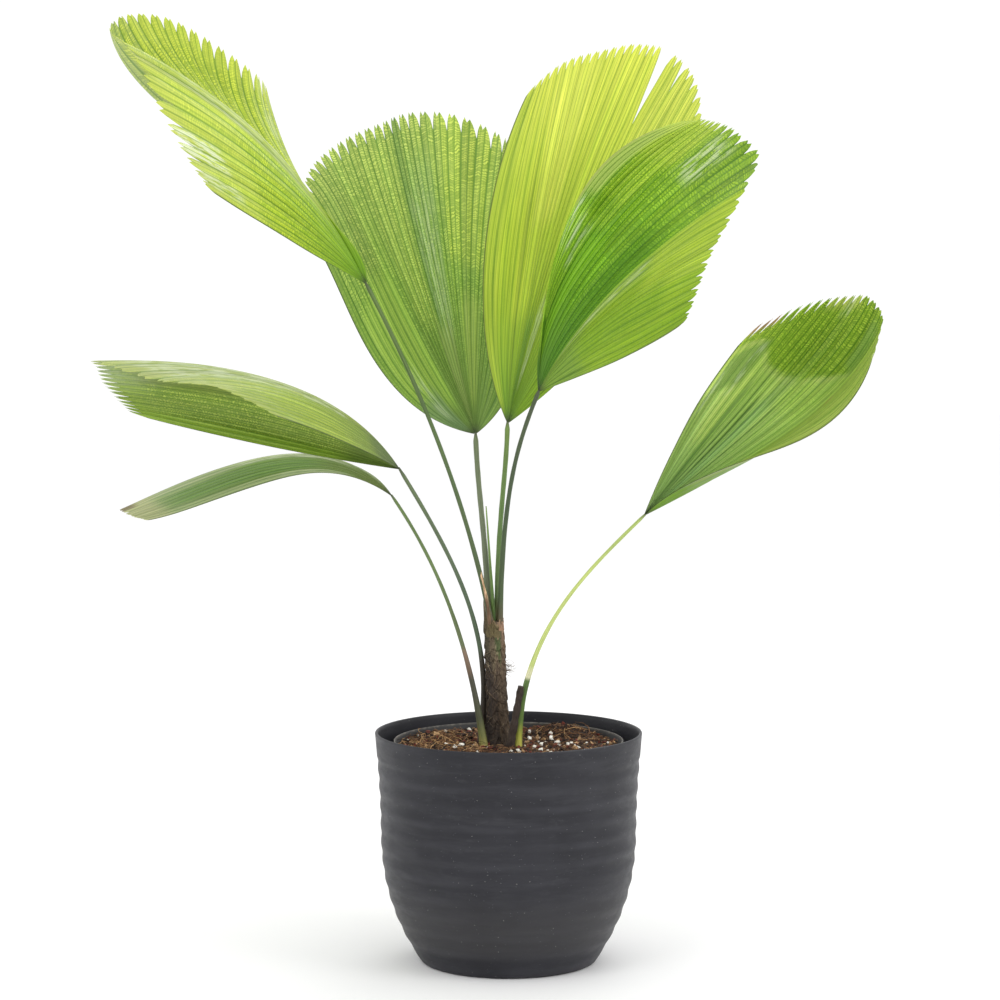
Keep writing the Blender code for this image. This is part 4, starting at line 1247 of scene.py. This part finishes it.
def make_stalk(name, frond, material):
    """Grooved leaf stalk that swells a little at its foot and ends in the hub."""
    path = frond_path(frond)
    length = sum((path[i + 1] - path[i]).length for i in range(3))
    stops = shares(STALK_RINGS)
    points = [bezier(path, t) for t in stops]
    radii = []
    for t in stops:
        radius = frond.radii[1] + (frond.radii[0] - frond.radii[1]) * (1 - t) ** STALK_TAPER
        radius *= MM
        radius *= 1 + STALK_FLARE * math.exp(-STALK_FLARE_FADE * t)
        left = (1 - t) * length
        if left < STALK_NOSE:
            radius = STALK_NOSE_RADIUS + (radius - STALK_NOSE_RADIUS) * left / STALK_NOSE
        radii.append(radius * (1 + 0.03 * math.sin(40 * t + 3 * frond.radii[0])))
    places = [place for place, _ in STALK_LOOKS[name]]
    shades = np.array([colour for _, colour in STALK_LOOKS[name]])
    t = np.repeat(stops, STALK_SIDES)
    colours = np.stack([np.interp(t, places, shades[:, k]) for k in range(3)], axis=1)
    joint = np.clip((t - STALK_JOINT) / (1 - STALK_JOINT), 0, 1)
    colours = covered(colours, HUB_TONE, joint * STALK_JOINT_COVER)
    return make_rod("petiole_" + name, points, radii, STALK_SIDES, STALK_GROOVE, material,
                    colours, "stalk_green", "stalk_" + name)


def turned(profile, sides):
    """Points and faces of a profile turned round the Z axis."""
    verts = []
    faces = []
    rings = []
    for radius, z in profile:
        ring = []
        for k in range(1 if radius == 0 else sides):
            angle = 2 * math.pi * k / sides
            ring.append(len(verts))
            verts.append((radius * math.cos(angle), radius * math.sin(angle), z))
        rings.append(ring)
    for low, high in zip(rings, rings[1:]):
        for k in range(sides):
            n = (k + 1) % sides
            if len(low) == 1:
                faces.append((low[0], high[n], high[k]))
            elif len(high) == 1:
                faces.append((low[k], low[n], high[0]))
            else:
                faces.append((low[k], low[n], high[n], high[k]))
    return verts, faces


def make_turned(name, profile, sides, material, slot, node):
    """A round thin-walled piece in place of one solid."""
    verts, faces = turned(profile, sides)
    obj = add_mesh(name, verts, faces, [material], angle=35)
    turn_outwards(obj)
    return dress(obj, slot, node)


def pot_radius(z):
    """Outer radius of the planter at a height, without its ribs."""
    if z < POT_BELLY_HEIGHT:
        left = 1 - z / POT_BELLY_HEIGHT
        swell = 1 - left ** POT_BELLY_POWER
        return POT_FOOT_RADIUS + (POT_BELLY_RADIUS - POT_FOOT_RADIUS) * swell
    share = (z - POT_BELLY_HEIGHT) / (POT_HEIGHT - POT_BELLY_HEIGHT)
    return POT_BELLY_RADIUS + POT_RIM_FLARE * share ** 1.5


def rib_cut(z):
    """How far the wall lies behind the plain outline at a height."""
    low = RIB_TOP - RIB_COUNT * RIB_PITCH
    if z > RIB_TOP:
        return RIB_DEPTH * max(0.0, 1 - (z - RIB_TOP) / RIB_FADE_UP)
    if z < low:
        return RIB_DEPTH * max(0.0, 1 - (low - z) / RIB_FADE_DOWN)
    return RIB_DEPTH * (0.5 + 0.5 * math.cos(2 * math.pi * (RIB_TOP - z) / RIB_PITCH))


def make_pot(material):
    """Ribbed planter with a rounded foot, a plain collar and a rolled lip."""
    profile = [(0.0, 0.0), (POT_FOOT_RADIUS - 8 * MM, 0.0), (POT_FOOT_RADIUS - 1 * MM, 0.0),
               (POT_FOOT_RADIUS + 0.4 * MM, 0.7 * MM)]
    low = 1.6 * MM
    top = POT_HEIGHT - 2.2 * MM
    for k in range(1, POT_RINGS + 1):
        z = low + (top - low) * k / POT_RINGS
        profile.append((pot_radius(z) - rib_cut(z), z))
    rim = pot_radius(POT_HEIGHT)
    for inside, below in POT_LIP:
        profile.append((rim - inside * MM, POT_HEIGHT - below * MM))
    top = POT_HEIGHT - 4 * MM
    for k in range(POT_INNER_RINGS):
        z = top - (top - POT_FLOOR) * k / (POT_INNER_RINGS - 1)
        thinner = 0.9 * MM * max(0, 1 - k / 6)
        profile.append((pot_radius(z) - RIB_DEPTH - POT_WALL + thinner, z))
    profile.append((0.0, POT_FLOOR))
    return make_turned("planter", profile, POT_SIDES, material, "pot_plastic", "outer_pot")


def liner_radius(z):
    """Outer radius of the grower pot at a height."""
    share = (z - LINER_BASE) / (LINER_TOP - LINER_BASE)
    return LINER_BOTTOM_RADIUS + (LINER_RIM_RADIUS - LINER_BOTTOM_RADIUS) * share


def make_liner(material):
    """Thin grower pot with a small rolled lip."""
    top = liner_radius(LINER_TOP)
    profile = [(0.0, LINER_BASE), (LINER_BOTTOM_RADIUS, LINER_BASE)]
    for k in range(1, LINER_RINGS):
        z = LINER_BASE + (LINER_TOP - 3 * MM - LINER_BASE) * k / (LINER_RINGS - 1)
        profile.append((liner_radius(z) - 0.5 * MM, z))
    for inside, below in LINER_LIP:
        profile.append((top - inside * MM, LINER_TOP - below * MM))
    for z in (SOIL_LEVEL - 14 * MM, LINER_BASE + 2 * MM):
        profile.append((liner_radius(z) - LINER_WALL, z))
    profile.append((0.0, LINER_BASE + 2 * MM))
    return make_turned("grower_pot_rim", profile, LINER_SIDES, material, "liner_plastic",
                       "grower_pot")


def from_trunk(x, y):
    """Level distance of a place from the middle of the trunk's foot."""
    return math.hypot(x - TRUNK_FOOT.x, y - TRUNK_FOOT.y)


def soil_height(x, y):
    """Height of the soil's top: level at the plant's foot, lumpy further out."""
    blend = min(max(from_trunk(x, y) / SOIL_LEVEL_RADIUS - 1, 0.0), 1.0)
    lift = -SOIL_EDGE_DROP
    for lump in SOIL_LUMPS:
        away = math.hypot(x - lump.x, y - lump.y) / lump.radius
        lift += lump.height * math.exp(-away * away)
    rough = noise.noise(Vector((x, y, 0.0)) * 90) * 1.2 * MM
    rough += noise.noise(Vector((x, y, 0.3)) * 260) * 0.9 * MM
    return SOIL_LEVEL + lift * blend + rough


SOIL_RIM = liner_radius(SOIL_LEVEL) - LINER_WALL - 0.4 * MM


def make_soil(material):
    """The soil's uneven top, its side and its underside inside the liner."""
    verts = [(0.0, 0.0, soil_height(0.0, 0.0))]
    faces = []
    for ring in range(1, SOIL_RINGS + 1):
        radius = SOIL_RIM * ring / SOIL_RINGS
        for k in range(SOIL_SIDES):
            angle = 2 * math.pi * k / SOIL_SIDES
            x = radius * math.cos(angle)
            y = radius * math.sin(angle)
            verts.append((x, y, soil_height(x, y)))
    low = 7 * MM
    foot = liner_radius(low) - LINER_WALL - 0.4 * MM
    for k in range(SOIL_SIDES):
        angle = 2 * math.pi * k / SOIL_SIDES
        verts.append((foot * math.cos(angle), foot * math.sin(angle), low))
    for k in range(SOIL_SIDES):
        n = (k + 1) % SOIL_SIDES
        faces.append((0, 1 + k, 1 + n))
        for ring in range(SOIL_RINGS):
            a = 1 + ring * SOIL_SIDES
            b = a + SOIL_SIDES
            faces.append((a + k, b + k, b + n, a + n))
    last = 1 + SOIL_RINGS * SOIL_SIDES
    faces.append(tuple(last + k for k in range(SOIL_SIDES))[::-1])
    obj = add_mesh("soil_bed", verts, faces, [material])
    return dress(obj, "potting_mix", "potting_soil")


class Heap:
    """Many small loose pieces gathered into one mesh."""

    def __init__(self):
        self.verts = []
        self.faces = []
        self.kinds = []

    def add(self, verts, faces, kind=0):
        """One more piece, in the material of its kind."""
        start = len(self.verts)
        self.verts.extend(tuple(v) for v in verts)
        self.faces.extend(tuple(start + k for k in face) for face in faces)
        self.kinds.extend([kind] * len(faces))

    def build(self, name, materials, smooth=True):
        """The object made of all pieces, with one material for each kind."""
        return add_mesh(name, self.verts, self.faces, materials, self.kinds, smooth, 60)


def lump_shape(detail):
    """Points and faces of a round lump."""
    bm = bmesh.new()
    bmesh.ops.create_icosphere(bm, subdivisions=detail, radius=1.0)
    verts = np.array([v.co[:] for v in bm.verts])
    faces = [tuple(v.index for v in f.verts) for f in bm.faces]
    bm.free()
    return verts, faces


def turned_at_random(rng, points):
    """Points turned by a random rotation."""
    q = rng.normal(size=4)
    w, x, y, z = q / np.linalg.norm(q)
    matrix = np.array([
        [1 - 2 * (y * y + z * z), 2 * (x * y - z * w), 2 * (x * z + y * w)],
        [2 * (x * y + z * w), 1 - 2 * (x * x + z * z), 2 * (y * z - x * w)],
        [2 * (x * z - y * w), 2 * (y * z + x * w), 1 - 2 * (x * x + y * y)]])
    return points @ matrix.T


def soil_spot(rng, edge=1.0):
    """A random place on the soil, clear of the trunk's middle."""
    while True:
        radius = SOIL_RIM * edge * math.sqrt(rng.uniform(0, 1))
        angle = rng.uniform(0, 2 * math.pi)
        x = radius * math.cos(angle)
        y = radius * math.sin(angle)
        if from_trunk(x, y) > SOIL_CLEAR:
            return x, y


def grains(shades):
    """One grain material for each name and screen colour."""
    return [grain_material(name, tone(*shade)) for name, shade in shades]


def make_chips(rng):
    """Coir chips and crumbs."""
    chip, faces = lump_shape(1)
    heap = Heap()
    for _ in range(CHIP_COUNT):
        x, y = soil_spot(rng, 0.97)
        size = (1.0 + 3.6 * rng.uniform() ** 1.6) * MM
        shape = chip * (1 + 0.25 * rng.normal(size=(len(chip), 1)).clip(-1.5, 1.5))
        shape = shape * np.array([1.0, rng.uniform(0.35, 0.8), rng.uniform(0.2, 0.5)])
        shape = turned_at_random(rng, shape * size)
        z = soil_height(x, y) + size * rng.uniform(-0.1, 0.35)
        heap.add(shape + np.array([x, y, z]), faces, rng.choice(4, p=(0.40, 0.27, 0.15, 0.18)))
    for _ in range(CRUMB_COUNT):
        x, y = soil_spot(rng, 0.98)
        size = rng.uniform(0.5, 1.3) * MM
        shape = chip * (1 + 0.2 * rng.normal(size=(len(chip), 1)).clip(-1.5, 1.5))
        shape = turned_at_random(rng, shape * size * np.array([1.0, 0.8, 0.6]))
        z = soil_height(x, y) + size * 0.3
        heap.add(shape + np.array([x, y, z]), faces, rng.choice(4, p=(0.4, 0.3, 0.1, 0.2)))
    shades = grains((("chip_dark", (44, 28, 19)), ("chip_brown", (96, 68, 45)),
                     ("chip_tan", (178, 142, 102)), ("chip_red", (108, 50, 38))))
    dress(heap.build("soil_chips", shades, smooth=False), "potting_mix")


def make_fibres(rng):
    """Curled coir fibres, most of them in two tangles."""
    heap = Heap()
    for number in range(FIBRE_COUNT):
        golden = number < FIBRE_COUNT * FIBRES_LEFT
        if golden:
            x, y = rng.normal(-62, 20) * MM, rng.normal(-6, 34) * MM
        elif number < FIBRE_COUNT * (FIBRES_LEFT + FIBRES_RIGHT):
            x, y = rng.normal(48, 16) * MM, rng.normal(56, 16) * MM
        else:
            x, y = soil_spot(rng, 0.97)
        if math.hypot(x, y) > SOIL_RIM * 0.97 or math.hypot(x - TRUNK_FOOT.x, y) < SOIL_CLEAR:
            continue
        length = rng.uniform(8, 36) * MM
        heading = rng.uniform(0, 2 * math.pi)
        curl = rng.uniform(-2.8, 2.8)
        rise = rng.uniform(-0.05, 0.45) * (1 if rng.uniform() < 0.8 else 2.2)
        radius = rng.uniform(0.12, 0.42) * MM
        points = []
        z = soil_height(x, y) + radius
        for k in range(FIBRE_STEPS):
            points.append((x, y, z))
            turn = heading + curl * k / FIBRE_STEPS
            x += math.cos(turn) * length / FIBRE_STEPS
            y += math.sin(turn) * length / FIBRE_STEPS
            inward = min(1.0, (SOIL_RIM - 1 * MM) / math.hypot(x, y))
            x *= inward
            y *= inward
            lift = rise * math.sin(math.pi * k / FIBRE_STEPS * rng.uniform(0.8, 1.0)) * length / 4
            z = min(soil_height(x, y) + radius + max(lift, 0.0), FIBRE_TOP)
        radii = [radius * (1 - 0.6 * k / FIBRE_STEPS) for k in range(FIBRE_STEPS)]
        verts, faces = tube(points, radii, 4)
        heap.add(verts, faces, rng.choice(3, p=(0.3, 0.3, 0.4) if golden else (0.5, 0.35, 0.15)))
    shades = grains((("fibre_dark", (52, 34, 22)), ("fibre_brown", (122, 84, 52)),
                     ("fibre_gold", (190, 150, 102))))
    dress(heap.build("soil_fibres", shades), "potting_mix")


def make_perlite(rng):
    """White grains of perlite."""
    ball, faces = lump_shape(2)
    spots = []
    for number in range(PERLITE_COUNT):
        if number < PERLITE_COUNT * PERLITE_RIGHT:
            x = rng.normal(34, 24) * MM
            y = rng.normal(-26, 36) * MM
        else:
            x, y = soil_spot(rng, 0.95)
        if from_trunk(x, y) > SOIL_CLEAR and math.hypot(x, y) < SOIL_RIM * 0.95:
            spots.append((x, y))
    heap = Heap()
    for x, y in spots:
        size = (0.7 + 2.3 * rng.uniform() ** 1.8) * MM
        bumps = 1 + 0.22 * rng.normal(size=(len(ball), 1)).clip(-1.5, 1.5)
        shape = turned_at_random(rng, ball * bumps * size * np.array([1.0, 0.85, 0.7]))
        z = soil_height(x, y) + size * 0.55
        heap.add(shape + np.array([x, y, z]), faces)
    white = [grain_material("perlite", tone(244, 240, 230), 0.85, 0.06, 900.0)]
    dress(heap.build("perlite_grit", white), "potting_mix")


def trunk_centre(share):
    """Middle of the trunk at a share of its height."""
    return TRUNK_FOOT.lerp(TRUNK_TOP, share)


def trunk_radius(angle, share):
    """Radius of the trunk with its overlapping leaf-base ledges and fibrous ridges."""
    rise = share * (TRUNK_TOP.z - TRUNK_FOOT.z)
    radius = TRUNK_FOOT_RADIUS + (TRUNK_TOP_RADIUS - TRUNK_FOOT_RADIUS) * share
    radius += (TRUNK_FLARE_RADIUS - TRUNK_FOOT_RADIUS) * math.exp(-rise / TRUNK_FLARE_HEIGHT)
    around = Vector((math.cos(angle), math.sin(angle), 0.0))
    shift = noise.noise(around * 1.6 + Vector((0, 0, share * 3))) * 0.9
    ledge = (share * TRUNK_SCARS + angle / (2 * math.pi) + shift) % 1.0
    radius += (0.5 - ledge) * 1.3 * MM
    strand = noise.noise(around * 11 + Vector((0, 0, share * 5 + shift)))
    radius += strand * 0.75 * MM
    radius += noise.noise(around * 30 + Vector((0, 0, share * 14))) * 0.35 * MM
    return radius * (1 + 0.03 * math.sin(3 * angle + 5 * share))


def trunk_point(angle, share, off=0.0):
    """Point that stands off the trunk's surface by a distance."""
    centre = trunk_centre(share)
    radius = trunk_radius(angle, share) + off
    return Vector((centre.x + radius * math.cos(angle), centre.y + radius * math.sin(angle),
                   centre.z))


# An area of the trunk: from and to across its width as seen from the front, from its
# left edge at -1 to its right edge at 1, from and to up its height, colour and cover
Patch = namedtuple("Patch", "left right low high colour cover")
TRUNK_TONE = tone(100, 84, 68)
TRUNK_PATCHES = (
    Patch(-1.2, -0.35, -0.2, 0.66, tone(48, 41, 38), 0.85),
    Patch(-0.4, 0.12, -0.2, 0.58, tone(66, 56, 50), 0.7),
    Patch(-1.2, 1.2, -0.2, 0.10, tone(58, 48, 41), 0.6),
    Patch(0.06, 0.16, 0.0, 0.42, tone(36, 30, 28), 0.8),
    Patch(-1.2, -0.5, 0.66, 1.2, tone(74, 70, 52), 0.8),
    Patch(-0.5, 0.05, 0.62, 1.2, tone(116, 104, 82), 0.7),
    Patch(0.05, 0.65, 0.70, 0.93, tone(82, 98, 56), 0.85),
    Patch(0.65, 1.2, 0.60, 0.92, tone(136, 112, 90), 0.7),
    Patch(0.2, 1.2, 0.93, 0.99, tone(186, 150, 122), 0.8),
    Patch(-0.05, 0.5, 0.72, 0.75, tone(190, 170, 140), 0.6),
    Patch(-0.05, 0.7, 0.64, 0.67, tone(170, 148, 120), 0.6),
)


def trunk_colours():
    """Colour of every point of the trunk's mesh."""
    share = np.repeat(np.linspace(0, 1, TRUNK_RINGS), TRUNK_SIDES)
    angle = np.tile(2 * math.pi * np.arange(TRUNK_SIDES) / TRUNK_SIDES, TRUNK_RINGS)
    across = np.cos(angle)
    ragged = 0.05 * np.sin(9 * angle + 7 * share) + 0.03 * np.sin(23 * angle - 31 * share)
    colour = np.tile(TRUNK_TONE, (len(share), 1))
    for patch in TRUNK_PATCHES:
        weight = np.clip((across - patch.left) / 0.25 + 0.5, 0, 1)
        weight = weight * np.clip((patch.right - across) / 0.25 + 0.5, 0, 1)
        weight = weight * np.clip((share + ragged - patch.low) / 0.03 + 0.5, 0, 1)
        weight = weight * np.clip((patch.high - share - ragged) / 0.03 + 0.5, 0, 1)
        colour = covered(colour, patch.colour, weight * patch.cover)
    return colour


def trunk_uv():
    """For each face corner of the trunk: millimetres round it and up it."""
    tall = (TRUNK_TOP.z - TRUNK_FOOT.z) / MM
    round_it = 2 * math.pi * TRUNK_FOOT_RADIUS / MM
    corners = []
    for ring in range(TRUNK_RINGS - 1):
        low = tall * ring / (TRUNK_RINGS - 1)
        high = tall * (ring + 1) / (TRUNK_RINGS - 1)
        for k in range(TRUNK_SIDES):
            here = round_it * k / TRUNK_SIDES
            there = round_it * (k + 1) / TRUNK_SIDES
            corners += [(here, low), (there, low), (there, high), (here, high)]
    return corners + [(0.0, 0.0)] * (2 * TRUNK_SIDES)


# A dry leaf base that wraps the trunk or the stalks above it: the middle and the span
# of its turn in degrees, its foot and head in millimetres, how far it stands off the
# trunk at its foot and head, how much its head drops to its sides, and its colour
Wrap = namedtuple("Wrap", "turn span foot head near far drop colour")
WRAPS = (
    Wrap(160, 190, 306, 340, 0.2, -0.6, 12, tone(96, 84, 58)),
    Wrap(342, 90, 310, 326, 0.1, 0.0, 7, tone(166, 132, 106)),
    Wrap(262, 80, 304, 321, 0.3, 0.3, 6, tone(110, 98, 66)),
    Wrap(25, 120, 286, 305, 0.1, 0.4, 8, tone(120, 98, 76)),
)
WRAP_ROWS = 14
WRAP_COLUMNS = 40


def make_wraps(material):
    """The dry leaf bases round the trunk and round the foot of the stalks."""
    rng = np.random.RandomState(WRAP_SEED)
    verts = []
    faces = []
    tints = []
    corners = []
    own = two_skins(WRAP_ROWS, WRAP_COLUMNS)
    for wrap in WRAPS:
        frays = rng.uniform(0, 1, WRAP_COLUMNS)
        angle = np.radians(wrap.turn + wrap.span * (np.linspace(0, 1, WRAP_COLUMNS) - 0.5))
        aside = np.abs(np.linspace(-1, 1, WRAP_COLUMNS))
        head = wrap.head - wrap.drop * aside ** 1.5 - 2.5 * frays
        shell = []
        flat = []
        for side in (0.16, -0.16):
            for rise in shares(WRAP_ROWS):
                z = wrap.foot + (head - wrap.foot) * rise
                share = (z * MM - TRUNK_FOOT.z) / (TRUNK_TOP.z - TRUNK_FOOT.z)
                off = wrap.near + (wrap.far - wrap.near) * rise + side
                off = off + 0.25 * np.sin(5 * angle + 4 * rise)
                for k in range(WRAP_COLUMNS):
                    centre = trunk_centre(share[k])
                    radius = trunk_radius(angle[k], min(share[k], 1.0)) + off[k] * MM
                    shell.append((centre.x + radius * math.cos(angle[k]),
                                  centre.y + radius * math.sin(angle[k]), z[k] * MM))
                    flat.append((angle[k] * TRUNK_FOOT_RADIUS / MM, z[k]))
        faces.append(own + len(verts))
        verts += shell
        corners.append(np.array(flat)[own].reshape(-1, 2))
        rise = np.repeat(np.linspace(0, 1, WRAP_ROWS), WRAP_COLUMNS)[:, None]
        pale = np.clip(rise * 5 - 4, 0, 1) * 0.6
        shade = wrap.colour + (tone(176, 148, 116) - wrap.colour) * pale
        tints += [shade, shade]
    obj = add_mesh("leaf_bases", verts, np.concatenate(faces).tolist(), [material])
    set_colours(obj, "tint", np.concatenate(tints))
    set_uv(obj, "veins", np.concatenate(corners))
    dress(obj, "trunk_fibre")


def make_trunk(material):
    """The trunk with its ledges, ridges and colours."""
    verts = []
    for share in shares(TRUNK_RINGS):
        for k in range(TRUNK_SIDES):
            verts.append(trunk_point(2 * math.pi * k / TRUNK_SIDES, share))
    obj = add_mesh("trunk_bark", verts, ring_faces(TRUNK_RINGS, TRUNK_SIDES), [material])
    set_colours(obj, "tint", trunk_colours())
    set_uv(obj, "veins", trunk_uv())
    dress(obj, "trunk_fibre", "trunk")


def make_strands():
    """Thin fibres that lie on the trunk, and the loose hairs on its right side."""
    rng = np.random.RandomState(STRAND_SEED)
    heap = Heap()
    for _ in range(TRUNK_STRANDS):
        angle = rng.uniform(0, 2 * math.pi)
        low = rng.uniform(0.02, 0.72)
        high = min(low + rng.uniform(0.01, 0.11), 0.995)
        drift = rng.uniform(-1.3, 1.3)
        proud = rng.uniform(0.1, 0.8) * MM
        points = [trunk_point(angle + drift * f, low + (high - low) * f,
                              proud * math.sin(math.pi * f)) for f in shares(STRAND_STEPS)]
        width = rng.uniform(0.12, 0.26) * MM
        radii = [width * (1 - abs(f - 0.5)) for f in shares(STRAND_STEPS)]
        heap.add(*tube(points, radii, 4), rng.choice(3, p=(0.45, 0.38, 0.17)))
    for _ in range(HAIR_COUNT):
        share = HAIR_SHARE + rng.uniform(-0.05, 0.05)
        start = trunk_point(rng.uniform(-0.5, 0.5), share)
        reach = rng.uniform(4, 11) * MM
        lift = rng.uniform(-3, 4) * MM
        curl = rng.uniform(-4, 4) * MM
        points = []
        for f in shares(HAIR_STEPS):
            bend = math.sin(math.pi * f) * curl
            points.append(start + Vector((reach * f, bend, lift * f * f + bend * 0.5)))
        radii = [HAIR_RADIUS * (1 - 0.7 * f) for f in shares(HAIR_STEPS)]
        heap.add(*tube(points, radii, 4), rng.choice(3, p=(0.2, 0.4, 0.4)))
    shades = grains((("strand_dark", (44, 35, 28)), ("strand_brown", (98, 80, 62)),
                     ("strand_pale", (146, 130, 108))))
    dress(heap.build("trunk_strands", shades), "trunk_fibre")


def straight(foot, head, count):
    """Evenly spaced points from one place in millimetres to another."""
    foot = Vector(foot) * MM
    head = Vector(head) * MM
    return [foot.lerp(head, share) for share in shares(count)]


def make_spear(material):
    """The unopened leaf at the crown."""
    radii = [(1.8 - 1.3 * f ** 1.4) * MM * (1 + 0.08 * math.sin(9 * f))
             for f in shares(SPEAR_RINGS)]
    f = np.repeat(shares(SPEAR_RINGS), SPEAR_SIDES)
    colours = covered(tone(96, 126, 62), tone(122, 152, 74), f)
    make_rod("spear", straight(SPEAR_FOOT, SPEAR_HEAD, SPEAR_RINGS), radii, SPEAR_SIDES, 0.55,
             material, colours, "stalk_green", "spear_leaf")


def make_stub(material):
    """The dark stub of a cut stalk."""
    radii = []
    for f in shares(STUB_RINGS):
        wobble = 0.08 * math.sin(23 * f) + 0.05 * math.sin(51 * f)
        radii.append((3.9 - 0.9 * f) * MM * (1 + wobble))
    colours = np.tile(tone(70, 58, 50), (STUB_RINGS * STUB_SIDES, 1))
    make_rod("cut_stub", straight(STUB_FOOT, STUB_HEAD, STUB_RINGS), radii, STUB_SIDES, 0.3,
             material, colours, "trunk_fibre", "old_stub")


def make_sheath():
    """The curled dry sheath at the crown, brown below and pale above."""
    path = [Vector(point) * MM for point in SHEATH_PATH]
    verts = []
    for side in (1, -1):
        for f in shares(SHEATH_ROWS):
            centre = bezier(path, f)
            width = (3.4 - 2.2 * f ** 1.5) * MM * (1 + 0.15 * math.sin(17 * f))
            twist = -0.5 + 1.5 * f
            across = Vector((math.cos(twist), math.sin(twist), 0.25))
            out = Vector((-math.sin(twist), math.cos(twist), 0))
            for column in shares(SHEATH_COLUMNS):
                s = column - 0.5
                curl = 1.2 * MM * (1 - 4 * s * s) + 0.3 * MM * math.sin(14 * f + 5 * s)
                point = centre + across * (s * width) - out * curl
                verts.append(point + out * side * 0.12 * MM)
    faces = two_skins(SHEATH_ROWS, SHEATH_COLUMNS).tolist()
    obj = add_mesh("dry_sheath", verts, faces, [sheath_material()])
    turn_outwards(obj)
    f = np.tile(np.repeat(shares(SHEATH_ROWS), SHEATH_COLUMNS), 2)
    pale = np.clip((f - 0.40) / 0.15, 0, 1)
    set_colours(obj, "tint", covered(tone(116, 90, 66), tone(224, 188, 150), pale))
    dress(obj, "dead_sheath", "old_sheath")


def make_stage():
    """Plain pale floor, soft white surroundings and studio lights."""
    floor_mesh = bpy.data.meshes.new("floor")
    reach = 9.0
    floor_mesh.from_pydata([(-reach, -reach, 0), (reach, -reach, 0), (reach, reach, 0),
                            (-reach, reach, 0)], [], [(0, 1, 2, 3)])
    floor = bpy.data.objects.new("floor", floor_mesh)
    bpy.context.scene.collection.objects.link(floor)
    floor.location.z = -0.5 * MM
    paper = Shader("floor_paper", 0.9)
    floor_mesh.materials.append(paper.finish((0.965, 0.965, 0.965, 1.0)))
    world = bpy.data.worlds.new("studio")
    world.use_nodes = True
    sky = world.node_tree.nodes["Background"]
    sky.inputs["Color"].default_value = (1.0, 1.0, 1.0, 1.0)
    sky.inputs["Strength"].default_value = 1.05
    bpy.context.scene.world = world
    lights = (
        ("key", (-1.5, -1.9, 2.4), 1.3, 14.0),
        ("side", (2.0, -1.2, 1.5), 1.2, 14.0),
        ("back", (0.6, 1.9, 2.1), 1.4, 8.0),
    )
    for name, place, size, power in lights:
        data = bpy.data.lights.new(name, "AREA")
        data.shape = "SQUARE"
        data.size = size
        data.energy = power
        lamp = bpy.data.objects.new(name, data)
        lamp.location = place
        aim = Vector((0.0, 0.0, 0.45)) - Vector(place)
        lamp.rotation_euler = aim.to_track_quat("-Z", "Y").to_euler()
        bpy.context.scene.collection.objects.link(lamp)
    bpy.context.scene.view_settings.view_transform = "Standard"


def make_camera():
    """The camera, level to the sides and tipped down a little."""
    data = bpy.data.cameras.new("camera")
    data.lens = CAMERA_LENS
    data.sensor_width = CAMERA_SENSOR
    data.clip_end = 60.0
    camera = bpy.data.objects.new("camera", data)
    camera.location = CAMERA_PLACE
    camera.rotation_euler = (math.pi / 2 - CAMERA_PITCH, 0.0, 0.0)
    bpy.context.scene.collection.objects.link(camera)
    bpy.context.scene.camera = camera


stalk_skin = stalk_material()
bark = bark_material()
make_pot(pot_material())
make_liner(liner_material())
make_soil(soil_material())
loose = np.random.RandomState(SOIL_SEED)
make_chips(loose)
make_fibres(loose)
make_perlite(loose)
make_trunk(bark)
make_wraps(bark)
make_strands()
make_spear(stalk_skin)
make_stub(bark)
make_sheath()
for number, (name, frond) in enumerate(FRONDS.items()):
    make_stalk(name, frond, stalk_skin)
    make_blade(name, frond, number)
make_stage()
make_camera()
